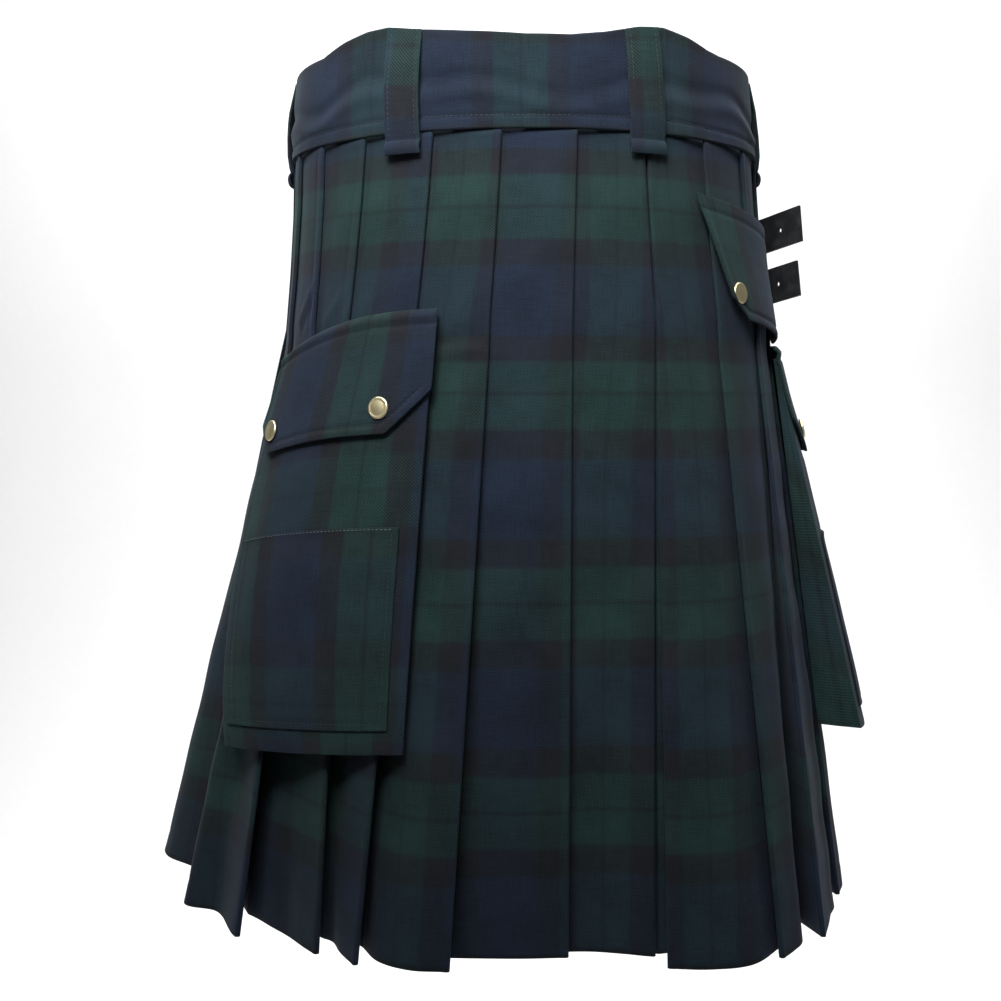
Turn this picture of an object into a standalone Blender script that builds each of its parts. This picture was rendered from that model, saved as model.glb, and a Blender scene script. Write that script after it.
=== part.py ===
"""Utility kilt, filled out as it hangs on its wearer.

Metres, +Z up. -Y is the back of the figure and +X the wearer's right. The origin is the
middle of the waistband's opening, half way down the waistband.

A place on the garment is given by a turn and a drop. The turn runs from the back, at 0,
towards the wearer's right, at 90 degrees. The drop is measured from the waistband's top
edge. The kilt is worn turned a little, so its centre back is at CENTRE_BACK.
"""

import math

import bmesh
import bpy
import numpy as np
from mathutils import Matrix, Vector

# Driving sizes
LENGTH = 0.610
BAND_HEIGHT = 0.061
BAND_WALL = 0.003
SEWN_TO = 0.185
SEAM_GAP = 0.0003
CLEAR = 0.0004

PLEAT_CLOTH = 0.0012
LAYER = 0.0018
APRON_CLOTH = 0.0015
PLEAT_INSET = 0.0012
HEM_FOLD = 0.0015
INNER_FOLD_INSET = 0.004
SEWN_DEPTH = 0.6

CENTRE_BACK = 27.0
OVER_FREE_EDGE = -211.0
OVER_SEWN_EDGE = -87.5
LEFT_JOIN = -89.0
RIGHT_JOIN = 152.0
UNDER_FREE_EDGE = 258.0
DIP_FROM, DIP_TO = 128.0, 145.0
BAND_OVERLAP_GAP = 0.0008
TURN_STEP = 5.0

# The figure's cross sections: how wide it is, how deep behind and in front, and how far
# its middle lies to the wearer's right.
SECTION_COLUMNS = ("drop", "half_width", "back_depth", "front_depth", "centre_x")
SECTIONS = (
    (0.000, 0.1700, 0.1350, 0.1350, 0.0000),
    (0.030, 0.1730, 0.1358, 0.1360, 0.0000),
    (0.061, 0.1754, 0.1368, 0.1375, 0.0010),
    (0.100, 0.1775, 0.1393, 0.1390, 0.0020),
    (0.145, 0.1815, 0.1425, 0.1400, 0.0030),
    (0.185, 0.1860, 0.1455, 0.1412, 0.0038),
    (0.610, 0.2640, 0.1812, 0.1620, -0.0164),
)
# The waistband's top edge stands higher by the loops at the back.
RISE_COLUMNS = ("turn", "rise")
BAND_RISES = (
    (-56.0, 0.0),
    (-47.0, 0.0060),
    (-39.0, 0.0095),
    (-33.0, 0.0100),
    (-26.0, 0.0065),
    (-14.0, 0.0030),
    (0.0, 0.0),
    (10.0, 0.0),
    (18.0, 0.0030),
    (26.0, 0.0080),
    (33.0, 0.0100),
    (41.0, 0.0065),
    (48.0, 0.0015),
    (53.0, 0.0),
)
# The aprons follow the section, but towards the sewn edge they swing forwards and out.
SWING, SWING_TURNS = 27.0, 80.0
FLARE, FLARE_TURNS = 0.07, 40.0

# The pleats, from the apron's sewn edge round the back to the right front. side is +1
# where the fold is at the pleat's right end and -1 where it is at its left. seam and
# sewn are the fold's turn at the waistband and at the end of the stitching. At the hem,
# in plan: the hidden end of the face, two places on the face, and the fold. depth is how
# far the hidden fold reaches back under the face.
PLEAT_COLUMNS = (
    "side", "seam", "sewn", "depth",
    "end_x", "end_y", "near_end_x", "near_end_y",
    "near_fold_x", "near_fold_y", "fold_x", "fold_y",
)
PLEATS = (
    (+1, -70.0, -72.0, 0.50, None, None, -0.294, 0.048, -0.288, 0.020, -0.262, -0.002),
    (+1, -55.0, -56.0, 0.50, -0.243, -0.030, -0.250, -0.074, -0.222, -0.090, -0.201, -0.131),
    (+1, -39.5, -43.0, 0.55, -0.199, -0.094, -0.184, -0.108, -0.162, -0.132, -0.142, -0.158),
    (+1, -21.5, -25.0, 0.50, -0.139, -0.134, -0.130, -0.141, -0.123, -0.156, -0.114, -0.174),
    (+1, -6.0, -9.0, 0.55, -0.110, -0.148, -0.097, -0.169, -0.075, -0.182, -0.052, -0.185),
    (+1, 10.5, 8.0, 0.60, -0.051, -0.164, -0.025, -0.165, 0.001, -0.165, 0.027, -0.164),
    (+1, 26.2, 26.2, 0.55, 0.028, -0.155, 0.047, -0.154, 0.067, -0.157, 0.085, -0.162),
    (-1, 27.8, 27.8, 0.50, 0.172, -0.150, 0.148, -0.174, 0.121, -0.181, 0.095, -0.180),
    (-1, 45.0, 45.5, 0.50, 0.194, -0.112, 0.190, -0.138, 0.181, -0.153, 0.173, -0.164),
    (-1, 63.0, 64.0, 0.15, 0.231, -0.058, 0.228, -0.080, 0.219, -0.098, 0.209, -0.131),
    (-1, 81.0, 81.0, 0.45, 0.229, 0.012, 0.243, -0.008, 0.246, -0.034, 0.239, -0.057),
    (-1, 100.0, 100.0, 0.45, 0.209, 0.062, 0.230, 0.055, 0.243, 0.038, 0.249, 0.018),
    (-1, 119.0, 119.0, 0.45, 0.172, 0.101, 0.198, 0.100, 0.217, 0.088, 0.229, 0.072),
    (-1, 137.0, 137.0, 0.50, None, None, 0.135, 0.128, 0.163, 0.120, 0.187, 0.110),
)
LAST_LEFT = 6
CENTRE_PANEL_HEM = (0.090, -0.158)
SKIRT_DROPS = (BAND_HEIGHT + SEAM_GAP, 0.100, 0.145, SEWN_TO, 0.260, 0.360, 0.480, LENGTH)

# Belt loops: the middle of each, and the loop's side view from its top to its lower bar.
LOOP_TURNS = (-91.0, -28.0, CENTRE_BACK, 90.0, 154.0)
LOOP_WIDTH = 0.022
LOOP_COLUMNS = ("drop", "inner", "outer")
LOOP_PROFILE = (
    (0.0005, 0.0004, 0.0022),
    (0.0080, 0.0014, 0.0032),
    (0.0220, 0.0032, 0.0050),
    (0.0400, 0.0036, 0.0054),
    (0.0540, 0.0032, 0.0050),
    (0.0650, 0.0012, 0.0030),
    (0.0680, 0.0008, 0.0044),
    (0.0755, 0.0008, 0.0040),
)

# Cargo pockets. The near edge is the one towards the centre back. Each row gives the
# turns of the near edge at its top and bottom and of the far edge at its top, middle and
# bottom, the drops of both top corners, and how far the cloth stands off the figure's
# section at the top and at the bottom. longer is the share by which the near edge is
# longer and the far edge shorter, and seat_near and seat_far are how far off the section
# the sides and the bottom end at the bottom. The top edge bows up between its corners.
POCKET_COLUMNS = (
    "name", "near_top", "near_bottom", "far_top", "far_middle", "far_bottom",
    "drop_near", "drop_far", "off_top", "off_bottom",
    "longer", "seat_near", "seat_far",
)
POCKETS = (
    ("left", -20.0, -17.0, -64.0, -66.5, -54.0, 0.187, 0.214, 0.0004, 0.0070, 0.027, 0.0070, 0.0070),
    ("right", 74.0, 71.0, 128.0, 119.0, 110.0, 0.208, 0.218, 0.0004, 0.0330, -0.016, 0.0040, 0.0180),
)
POCKET_WIDTH = 0.150
POCKET_HEIGHT = 0.275
POCKET_BOW = 0.007
BAG_GRID, PATCH_GRID = (11, 8), (10, 5)
BAG_WALL = 0.0024
PATCH_WALL = 0.0012
PATCH_MARGINS = (0.010, 0.008)
PATCH_TOP, PATCH_BOTTOM = 0.131, 0.260
FLAP_WALL = 0.0018
FLAP_ABOVE = 0.008
FLAP_STEP = 0.004
FLAP_SIDE = 0.044
FLAP_BOTTOM = 0.071
FLAP_CORNER = 0.027
FLAP_OVERHANG = 0.003
CAP_RADIUS = 0.0075
CAP_HEIGHT = 0.0022
CAP_FROM_NEAR, CAP_FROM_FAR = 0.033, 0.025
CAP_FROM_BOTTOM = 0.017
CAP_SIDES = 20
MERGE = 0.000001
# A snap's cap from its seat to its top, as shares of its radius and height.
CAP_COLUMNS = ("radius", "height")
CAP_PROFILE = ((0.62, 0.0), (1.0, 0.0), (1.0, 0.45), (0.86, 0.82), (0.5, 1.0))
SURFACE_REACH = 0.002

# Hip flap, on the sewn pleats: turns of its edges and drops of its corners.
HIP_NEAR_TOP, HIP_NEAR_BOTTOM, HIP_FAR = 40.0, 49.5, 96.0
HIP_TOP_NEAR, HIP_TOP_FAR = 0.098, 0.118
HIP_BOTTOM_NEAR, HIP_BOTTOM_FAR = 0.181, 0.197
HIP_CUT, HIP_CUT_RISE = 0.016, 0.0128
HIP_WIDTH = 0.145
HIP_CAP_FROM_SIDE = 0.0115

# Straps and buckles, on the right hip. free is the length of strap beyond its buckle.
STRAP_WIDTH = 0.027
STRAP_THICK = 0.0022
STRAP_COLUMNS = ("name", "drop", "free")
STRAPS = (("upper", 0.113, 0.066), ("lower", 0.153, 0.059))
STRAP_SEWN_TURN, STRAP_LEAVES_TURN = 164.0, 128.0
BUCKLE_TURN = 117.3
BUCKLE_LONG, BUCKLE_TALL, BAR_RADIUS = 0.026, 0.036, 0.0015
BUCKLE_OFF = 0.0048
STRAP_RISE = 0.16
STRAP_CLIMB = (0.42, 0.83)
STRAP_END_OFF = 0.003
BUCKLE_ROUND = 0.003
TAB_LONG, TAB_WALL, TAB_NARROWER = 0.024, 0.0016, 0.002
TAB_WRAP = BAR_RADIUS + CLEAR + TAB_WALL / 2
TAB_SINK = 0.0012
TAB_PARTS, TAB_BACK = 0.45, 0.5
PRONG_RADIUS = 0.0012
HOLE_WIDE, HOLE_LONG = 0.0036, 0.0100
ROUND_HOLE_LONG = HOLE_WIDE + 0.000004
HOLES_FROM_END = (0.020, 0.040)
SLOT_FROM_BAR = 0.0065
CUT_REACH = 0.004
# The strap's middle over the bar that the tab holds
OVER_TAB = BUCKLE_OFF + TAB_WRAP + TAB_WALL / 2 + CLEAR + STRAP_THICK / 2
PRONG_REST = BUCKLE_OFF + BAR_RADIUS + CLEAR + PRONG_RADIUS
# The prong's line: back from the bar that the tab holds, and out from where it rests on
# the far bar.
PRONG_COLUMNS = ("back", "out")
PRONG_LINE = (
    (0.0031, -0.0016),
    (0.0048, 0.0016),
    (0.0080, 0.0039),
    (0.0120, 0.0033),
    (BUCKLE_LONG + 0.0010, 0.0),
)

TOP_Z = BAND_HEIGHT / 2

COLOURS = {
    "tartan": ((0.020, 0.045, 0.050), 0.85, 0.0),
    "snap_metal": ((0.62, 0.52, 0.36), 0.35, 1.0),
    "strap": ((0.012, 0.012, 0.014), 0.55, 0.0),
    "buckle_metal": ((0.45, 0.42, 0.36), 0.35, 1.0),
}


def column(table, names, name):
    """One named column of a table, as an array."""
    return np.array([row[names.index(name)] for row in table], dtype=float)


def section(drop):
    """Half width, depth behind, depth in front and middle of the figure at a drop."""
    drops = column(SECTIONS, SECTION_COLUMNS, "drop")
    return [
        np.interp(drop, drops, column(SECTIONS, SECTION_COLUMNS, name))
        for name in SECTION_COLUMNS[1:]
    ]


def plan(turn, drop, lift, grow=1.0):
    """Points in plan on the figure's section, moved out along its normal by lift."""
    turn, drop, lift, grow = np.broadcast_arrays(turn, drop, lift, grow)
    wide, behind, front, middle = section(drop)
    angle = np.radians(turn)
    deep = np.where(np.cos(angle) >= 0.0, behind, front)
    out_x, out_y = np.sin(angle) * deep, -np.cos(angle) * wide
    size = np.hypot(out_x, out_y)
    x = middle + wide * grow * np.sin(angle) + lift * out_x / size
    y = -deep * grow * np.cos(angle) + lift * out_y / size
    return np.stack([x, y], axis=-1)


def apron_plan(turn, drop, lift):
    """The same for the aprons, whose sewn edge swings forwards and out below."""
    turn = np.asarray(turn, dtype=float)
    from_join = np.abs((turn - LEFT_JOIN + 180.0) % 360.0 - 180.0)
    below = np.clip((np.asarray(drop) - SEWN_TO) / (LENGTH - SEWN_TO), 0.0, 1.0)
    swing = np.clip(1.0 - from_join / SWING_TURNS, 0.0, 1.0) * below
    out = np.clip(1.0 - from_join / FLARE_TURNS, 0.0, 1.0) * below
    return plan(turn - SWING * swing, drop, lift, 1.0 + FLARE * out)


def risen(turn, drop):
    """Drops on the waistband and its loops, raised with the top edge there."""
    turns = column(BAND_RISES, RISE_COLUMNS, "turn")
    rise = np.interp(turn, turns, column(BAND_RISES, RISE_COLUMNS, "rise"))
    return drop - rise * np.clip(1.0 - drop / BAND_HEIGHT, 0.0, 1.0)


def on_figure(turn, drop, lift, lie=plan):
    """The same points with their height."""
    flat = lie(turn, drop, lift)
    z = np.broadcast_to(TOP_Z - np.asarray(drop, dtype=float), flat.shape[:-1])
    return np.concatenate([flat, z[..., None]], axis=-1)


def unit(v):
    return v / np.linalg.norm(v, axis=-1, keepdims=True)


def material(name):
    made = bpy.data.materials.get(name)
    if made:
        return made
    colour, rough, metal = COLOURS[name]
    made = bpy.data.materials.new(name)
    made.use_nodes = True
    shader = made.node_tree.nodes["Principled BSDF"]
    shader.inputs["Base Color"].default_value = (*colour, 1.0)
    shader.inputs["Roughness"].default_value = rough
    shader.inputs["Metallic"].default_value = metal
    return made


def add_object(name, mesh, finish, collection):
    made = bpy.data.objects.new(name, mesh)
    mesh.materials.append(material(finish))
    collection.objects.link(made)
    return made


def wall(name, outer, inner, finish, collection):
    """A closed wall between two grids of the same size, rows going down."""
    rows, columns = outer.shape[:2]
    count = rows * columns
    index = np.arange(count).reshape(rows, columns)
    faces = []

    def strip(a, b, c, d):
        faces.extend(np.stack([a, b, c, d], axis=-1).reshape(-1, 4).tolist())

    strip(index[:-1, :-1], index[1:, :-1], index[1:, 1:], index[:-1, 1:])
    back = index + count
    strip(back[:-1, :-1], back[:-1, 1:], back[1:, 1:], back[1:, :-1])
    strip(index[0, :-1], index[0, 1:], back[0, 1:], back[0, :-1])
    strip(index[-1, :-1], back[-1, :-1], back[-1, 1:], index[-1, 1:])
    strip(index[:-1, 0], back[:-1, 0], back[1:, 0], index[1:, 0])
    strip(index[:-1, -1], index[1:, -1], back[1:, -1], back[:-1, -1])
    mesh = bpy.data.meshes.new(name)
    points = np.concatenate([outer.reshape(-1, 3), inner.reshape(-1, 3)])
    mesh.from_pydata(points.tolist(), [], faces)
    mesh.update()
    tidy = bmesh.new()
    tidy.from_mesh(mesh)
    bmesh.ops.remove_doubles(tidy, verts=tidy.verts, dist=MERGE)
    bmesh.ops.recalc_face_normals(tidy, faces=tidy.faces)
    tidy.to_mesh(mesh)
    tidy.free()
    return add_object(name, mesh, finish, collection)


def clothed(name, turns, drops, lift, thick, collection, lie=plan):
    """A wall of cloth round the figure, on a grid of turns and drops."""
    outer = on_figure(turns, drops, lift + thick / 2, lie)
    inner = on_figure(turns, drops, lift - thick / 2, lie)
    return wall(name, outer, inner, "tartan", collection)


def offset_line(line, distance):
    """A plan line moved sideways, with each corner on the lines beside it."""
    run = unit(np.diff(line, axis=0))
    side = np.stack([run[:, 1], -run[:, 0]], axis=-1)
    before = np.concatenate([side[:1], side])
    after = np.concatenate([side, side[-1:]])
    middle = unit(before + after)
    reach = distance / np.sum(middle * before, axis=-1)
    return line + middle * reach[:, None]


def pull_ends(line, gap):
    """The line with each end drawn in, to leave a gap at a seam."""
    line = line.copy()
    line[0] += unit(line[1] - line[0]) * gap
    line[-1] += unit(line[-2] - line[-1]) * gap
    return line


def pleat_value(number, name):
    return PLEATS[number][PLEAT_COLUMNS.index(name)]


def hem_point(number, name):
    """A place of the hem plan, or the place where a pleat meets an apron."""
    x, y = pleat_value(number, name + "_x"), pleat_value(number, name + "_y")
    if x is not None:
        return np.array([x, y])
    join = LEFT_JOIN if number == 0 else RIGHT_JOIN
    return apron_plan(join, LENGTH, -PLEAT_INSET - 2 * LAYER)


def neighbour(number):
    """The pleat whose face begins where this one's hidden layer ends, if there is one."""
    side = pleat_value(number, "side")
    inner = LAST_LEFT if side > 0 else LAST_LEFT + 1
    return None if number == inner else number + side


def fold_turn(number, drop):
    seam, sewn = pleat_value(number, "seam"), pleat_value(number, "sewn")
    return np.interp(drop, (BAND_HEIGHT, SEWN_TO), (seam, sewn))


def end_turn(number, drop):
    """The turn of the face's hidden end, under the fold of the pleat before it."""
    if number == 0:
        return LEFT_JOIN
    if number == len(PLEATS) - 1:
        return RIGHT_JOIN
    return fold_turn(number - pleat_value(number, "side"), drop)


def sewn_line(number, drop):
    """A pleat lying flat in three layers, from its face's end to its hidden layer's end."""
    side = pleat_value(number, "side")
    fold, end = fold_turn(number, drop), end_turn(number, drop)
    hidden = fold + SEWN_DEPTH * (end - fold)
    if neighbour(number) is None:
        last = CENTRE_BACK
    else:
        last = fold

    def layer(turn, depth):
        slope = np.clip((turn - fold) / (end - fold), 0.0, 1.0) * 2 * LAYER
        return -PLEAT_INSET - slope - depth * LAYER

    ahead = math.degrees(LAYER / 2 / section(drop)[0]) * side
    places = [(end + (fold - end) * share, 0.0) for share in (0.0, 1 / 3, 2 / 3, 1.0)]
    places += [(fold + ahead, 0.5), (fold, 1.0), ((fold + hidden) / 2, 1.0)]
    places += [(hidden, 1.0), (hidden - ahead, 1.5), (hidden, 2.0)]
    places += [((hidden + last) / 2, 2.0), (last, 2.0)]
    return np.array([plan(turn, drop, layer(turn, depth)) for turn, depth in places])


def across(run, towards):
    """The unit normal of a run that points the same way as towards."""
    normal = np.array([run[1], -run[0]])
    return normal if normal @ towards > 0 else -normal


def hem_line(number):
    """A pleat hanging open at the hem, in the same order as sewn_line."""
    end, fold = hem_point(number, "end"), hem_point(number, "fold")
    face = [end, hem_point(number, "near_end"), hem_point(number, "near_fold"), fold]
    beside = neighbour(number)
    last = np.array(CENTRE_PANEL_HEM) if beside is None else hem_point(beside, "end")
    hidden = last + pleat_value(number, "depth") * (end - last)
    hidden = hidden - unit(hidden) * INNER_FOLD_INSET
    run = unit(fold - face[2])
    inwards = across(run, hidden - fold)
    tip = fold + (run + inwards) * HEM_FOLD
    turned = fold + 2 * inwards * HEM_FOLD
    back = unit(hidden - turned)
    under = across(back, last - hidden)
    inner_tip = hidden + (back + under) * HEM_FOLD
    inner_turned = hidden + 2 * under * HEM_FOLD
    line = face + [tip, turned, (turned + hidden) / 2, hidden, inner_tip, inner_turned]
    return np.array(line + [(inner_turned + last) / 2, last])


def pleat_line(number, drop):
    """The pleat's line at a drop: sewn flat above, and opening evenly to the hem below."""
    opened = max(0.0, (drop - SEWN_TO) / (LENGTH - SEWN_TO))
    sewn = sewn_line(number, min(drop, SEWN_TO))
    return sewn * (1.0 - opened) + hem_line(number) * opened


def make_pleat(number, collection):
    side = pleat_value(number, "side")
    outer, inner = [], []
    for drop in SKIRT_DROPS:
        line = pull_ends(pleat_line(number, drop), SEAM_GAP)
        height = np.full((len(line), 1), TOP_Z - drop)
        outer.append(np.hstack([offset_line(line, side * PLEAT_CLOTH / 2), height]))
        inner.append(np.hstack([offset_line(line, -side * PLEAT_CLOTH / 2), height]))
    name = f"pleat_{number + 1:02d}"
    wall(name, np.array(outer), np.array(inner), "tartan", collection)


def steps(first, last, step=TURN_STEP):
    """Turns from first to last that share the whole steps, so that layers run parallel."""
    inside = np.arange(math.floor(first / step) + 1, math.ceil(last / step)) * step
    inside = inside[(inside > first + step / 5) & (inside < last - step / 5)]
    return np.concatenate([[first], inside, [last]])


def make_waistband(collection):
    turns = steps(OVER_FREE_EDGE, UNDER_FREE_EDGE)
    dip = np.clip((turns - DIP_FROM) / (DIP_TO - DIP_FROM), 0.0, 1.0)
    lift = -BAND_WALL / 2 - dip * (BAND_WALL + BAND_OVERLAP_GAP)
    drops = np.array([0.0, BAND_HEIGHT / 2, BAND_HEIGHT])
    turns, drops = np.meshgrid(turns, drops)
    clothed("waistband", turns, risen(turns, drops), lift, BAND_WALL, collection)


def make_aprons(collection):
    over_lift = -PLEAT_INSET + PLEAT_CLOTH / 2 - APRON_CLOTH / 2
    turns, drops = np.meshgrid(steps(OVER_FREE_EDGE, OVER_SEWN_EDGE), SKIRT_DROPS)
    clothed("over_apron", turns, drops, over_lift, APRON_CLOTH, collection, apron_plan)
    under_lift = -PLEAT_INSET - 2 * LAYER - 2 * CLEAR
    gap = math.degrees(SEAM_GAP / SECTIONS[0][1])
    turns, drops = np.meshgrid(steps(RIGHT_JOIN + gap, UNDER_FREE_EDGE), SKIRT_DROPS)
    clothed("under_apron", turns, drops, under_lift, APRON_CLOTH, collection, apron_plan)


def make_loop(number, middle, collection):
    """A belt loop: its side view carried across its width."""
    drops = column(LOOP_PROFILE, LOOP_COLUMNS, "drop")[:, None]
    half = math.degrees(LOOP_WIDTH / 2 / np.linalg.norm(plan(middle, BAND_HEIGHT / 2, 0.0)))
    turns = middle + np.array([-half, 0.0, half])[None, :]
    drops = risen(turns, drops)
    outer = on_figure(turns, drops, column(LOOP_PROFILE, LOOP_COLUMNS, "outer")[:, None])
    inner = on_figure(turns, drops, column(LOOP_PROFILE, LOOP_COLUMNS, "inner")[:, None])
    wall(f"belt_loop_{number}", outer, inner, "tartan", collection)


def pocket_surface(pocket, across_at, down, lift, seated=0.0):
    """Points of a cargo pocket: across from its near edge, down from its top, lifted.

    seated is 1 where the bag's sides and bottom meet the pleats.
    """
    value = dict(zip(POCKET_COLUMNS, pocket))
    share, fall = across_at / POCKET_WIDTH, down / POCKET_HEIGHT
    near = value["near_top"] + (value["near_bottom"] - value["near_top"]) * fall
    far = value["far_top"] * (1.0 - fall) * (1.0 - 2.0 * fall)
    far = far + value["far_middle"] * 4.0 * fall * (1.0 - fall)
    far = far + value["far_bottom"] * fall * (2.0 * fall - 1.0)
    longer = 1.0 + value["longer"] * (1.0 - 2.0 * share)
    drop = value["drop_near"] + (value["drop_far"] - value["drop_near"]) * share + down * longer
    drop = drop - POCKET_BOW * np.sin(np.pi * np.clip(share, 0.0, 1.0)) * (1.0 - fall)
    seat = value["seat_near"] + (value["seat_far"] - value["seat_near"]) * share
    off_bottom = value["off_bottom"] + (seat - value["off_bottom"]) * seated
    off = value["off_top"] + (off_bottom - value["off_top"]) * np.clip(fall, 0, 1)
    return on_figure(near + (far - near) * share, drop, off + lift)


def make_bag(pocket, collection):
    """A bag: its front, its sides and its bottom, open towards the pleats.

    Each wall is a grid of the front with a column more at each side and a row more below,
    which reach back to the pleats. The inner grid is drawn in by the cloth's thickness.
    """
    columns = np.arange(BAG_GRID[0] + 2) - 1
    rows = np.arange(BAG_GRID[1] + 1)
    row, place = np.meshgrid(rows, columns, indexing="ij")
    at_side = (place < 0) | (place > BAG_GRID[0] - 1)
    below = row > BAG_GRID[1] - 1
    seated = (at_side | below).astype(float)
    share = np.clip(place / (BAG_GRID[0] - 1), 0.0, 1.0)
    fall = np.clip(row / (BAG_GRID[1] - 1), 0.0, 1.0)

    def side(inset):
        across_at = inset + (POCKET_WIDTH - 2 * inset) * share
        down = (POCKET_HEIGHT - inset) * fall
        lift = np.where(seated > 0.0, 0.0, BAG_WALL - inset)
        return pocket_surface(pocket, across_at, down, lift, seated)

    wall(f"pocket_{pocket[0]}_bag", side(0.0), side(BAG_WALL), "tartan", collection)


def hip_surface(across_at, down, lift):
    """Points of the hip flap, whose height changes a little from end to end."""
    share = across_at / HIP_WIDTH
    top = HIP_TOP_NEAR + (HIP_TOP_FAR - HIP_TOP_NEAR) * share
    bottom = HIP_BOTTOM_NEAR + (HIP_BOTTOM_FAR - HIP_BOTTOM_NEAR) * share
    fall = down / (FLAP_BOTTOM + FLAP_ABOVE)
    near = HIP_NEAR_TOP + (HIP_NEAR_BOTTOM - HIP_NEAR_TOP) * fall
    turn = near + (HIP_FAR - near) * share
    return on_figure(turn, top + (bottom - top) * fall, lift)


def panel(name, surface, across_at, down, lift, thick, collection):
    """A flat piece of cloth: a surface's points moved out on both sides of its middle."""
    outer = surface(across_at, down, lift + thick / 2)
    inner = surface(across_at, down, lift - thick / 2)
    wall(name, outer, inner, "tartan", collection)


def flap_outline(width, cut, top, side, bottom, overhang):
    """Across and down for a flap whose lower corners are cut off."""
    low, high = -overhang, width + overhang
    middle = np.linspace(low + cut, high - cut, 9)
    across_at = np.concatenate([[low, low + cut / 2], middle, [high - cut / 2, high]])
    from_edge = np.minimum(across_at - low, high - across_at)
    lower = side + (bottom - side) * np.clip(from_edge / cut, 0.0, 1.0)
    rows = np.array([0.0, 1.0, 2.0])[:, None] * FLAP_STEP + top
    shares = np.array([1 / 3, 2 / 3, 1.0])[:, None]
    below = rows[-1] + (lower[None, :] - rows[-1]) * shares
    down = np.vstack([np.broadcast_to(rows, (3, len(across_at))), below])
    return np.broadcast_to(across_at, down.shape), down


def add_cap(number, middle, outwards, collection):
    """A snap's cap: a turned profile, seated on the flap and facing out."""
    mesh = bpy.data.meshes.new(f"snap_{number}")
    made = bmesh.new()
    angles = np.arange(CAP_SIDES) * 2 * math.pi / CAP_SIDES
    rings = []
    for radius_share, height_share in CAP_PROFILE:
        radius, height = CAP_RADIUS * radius_share, CAP_HEIGHT * height_share
        ring = [(radius * math.cos(a), radius * math.sin(a), height) for a in angles]
        rings.append([made.verts.new(place) for place in ring])
    for lower, upper in zip(rings, rings[1:]):
        for i in range(CAP_SIDES):
            j = (i + 1) % CAP_SIDES
            made.faces.new((lower[i], lower[j], upper[j], upper[i]))
    made.faces.new(rings[0])
    made.faces.new(rings[-1])
    bmesh.ops.recalc_face_normals(made, faces=made.faces)
    made.to_mesh(mesh)
    made.free()
    cap = add_object(f"snap_{number}", mesh, "snap_metal", collection)
    facing = Vector(outwards).to_track_quat("Z", "Y").to_matrix().to_4x4()
    cap.matrix_world = Matrix.Translation(middle) @ facing


def cap_place(surface, across_at, down, lift):
    """The middle and the outward direction of a surface there."""
    at = surface(np.array(across_at), np.array(down), lift)
    to_side = surface(np.array(across_at + SURFACE_REACH), np.array(down), lift) - at
    to_below = surface(np.array(across_at), np.array(down + SURFACE_REACH), lift) - at
    outwards = unit(np.cross(to_side, to_below))
    away = np.array([at[0], at[1], 0.0])
    if outwards @ away < 0:
        outwards = -outwards
    return Vector(at), outwards


def make_pockets(collection):
    number = 1
    for pocket in POCKETS:
        name = pocket[0]

        def surface(across_at, down, lift, pocket=pocket):
            return pocket_surface(pocket, across_at, down, lift)

        make_bag(pocket, collection)
        across_at, down = np.meshgrid(
            np.linspace(PATCH_MARGINS[0], POCKET_WIDTH - PATCH_MARGINS[1], PATCH_GRID[0]),
            np.linspace(PATCH_TOP, PATCH_BOTTOM, PATCH_GRID[1]),
        )
        on_bag = BAG_WALL + CLEAR
        lift = on_bag + PATCH_WALL / 2
        panel(f"pocket_{name}_patch", surface, across_at, down, lift, PATCH_WALL, collection)
        across_at, down = flap_outline(
            POCKET_WIDTH, FLAP_CORNER, -FLAP_ABOVE, FLAP_SIDE, FLAP_BOTTOM, FLAP_OVERHANG
        )
        rise = np.clip((down + FLAP_ABOVE) / FLAP_STEP, 0.0, 1.0)
        lift = on_bag * rise + FLAP_WALL / 2
        panel(f"pocket_{name}_flap", surface, across_at, down, lift, FLAP_WALL, collection)
        off = on_bag + FLAP_WALL + CLEAR
        for place in (CAP_FROM_NEAR - FLAP_OVERHANG, POCKET_WIDTH + FLAP_OVERHANG - CAP_FROM_FAR):
            seat = cap_place(surface, place, FLAP_BOTTOM - CAP_FROM_BOTTOM, off)
            add_cap(number, *seat, collection)
            number += 1
    return number


def make_hip_flap(number, collection):
    tall = FLAP_BOTTOM + FLAP_ABOVE
    across_at, down = flap_outline(HIP_WIDTH, HIP_CUT, 0.0, tall - HIP_CUT_RISE, tall, 0.0)
    lift = CLEAR + FLAP_WALL / 2
    panel("hip_flap", hip_surface, across_at, down, lift, FLAP_WALL, collection)
    off = FLAP_WALL + 2 * CLEAR
    for place in (HIP_CAP_FROM_SIDE, HIP_WIDTH - HIP_CAP_FROM_SIDE):
        add_cap(number, *cap_place(hip_surface, place, tall - CAP_FROM_BOTTOM, off), collection)
        number += 1


class Buckle:
    """Places by a buckle: along towards the strap's free end, out from the hip, and up."""

    def __init__(self, drop):
        self.drop = drop
        ahead, behind = plan(BUCKLE_TURN - 1.0, drop, 0.0), plan(BUCKLE_TURN + 1.0, drop, 0.0)
        self.along = unit(ahead - behind)
        self.out = across(self.along, plan(BUCKLE_TURN, drop, 0.0))

    def flat(self, s, n, up=0.0):
        """A place in plan. It leans as the hip does, so it moves out lower down."""
        return plan(BUCKLE_TURN, self.drop - up, 0.0) + self.along * s + self.out * n

    def place(self, s, n, up=0.0):
        return np.array([*self.flat(s, n, up), TOP_Z - self.drop + up])


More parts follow.
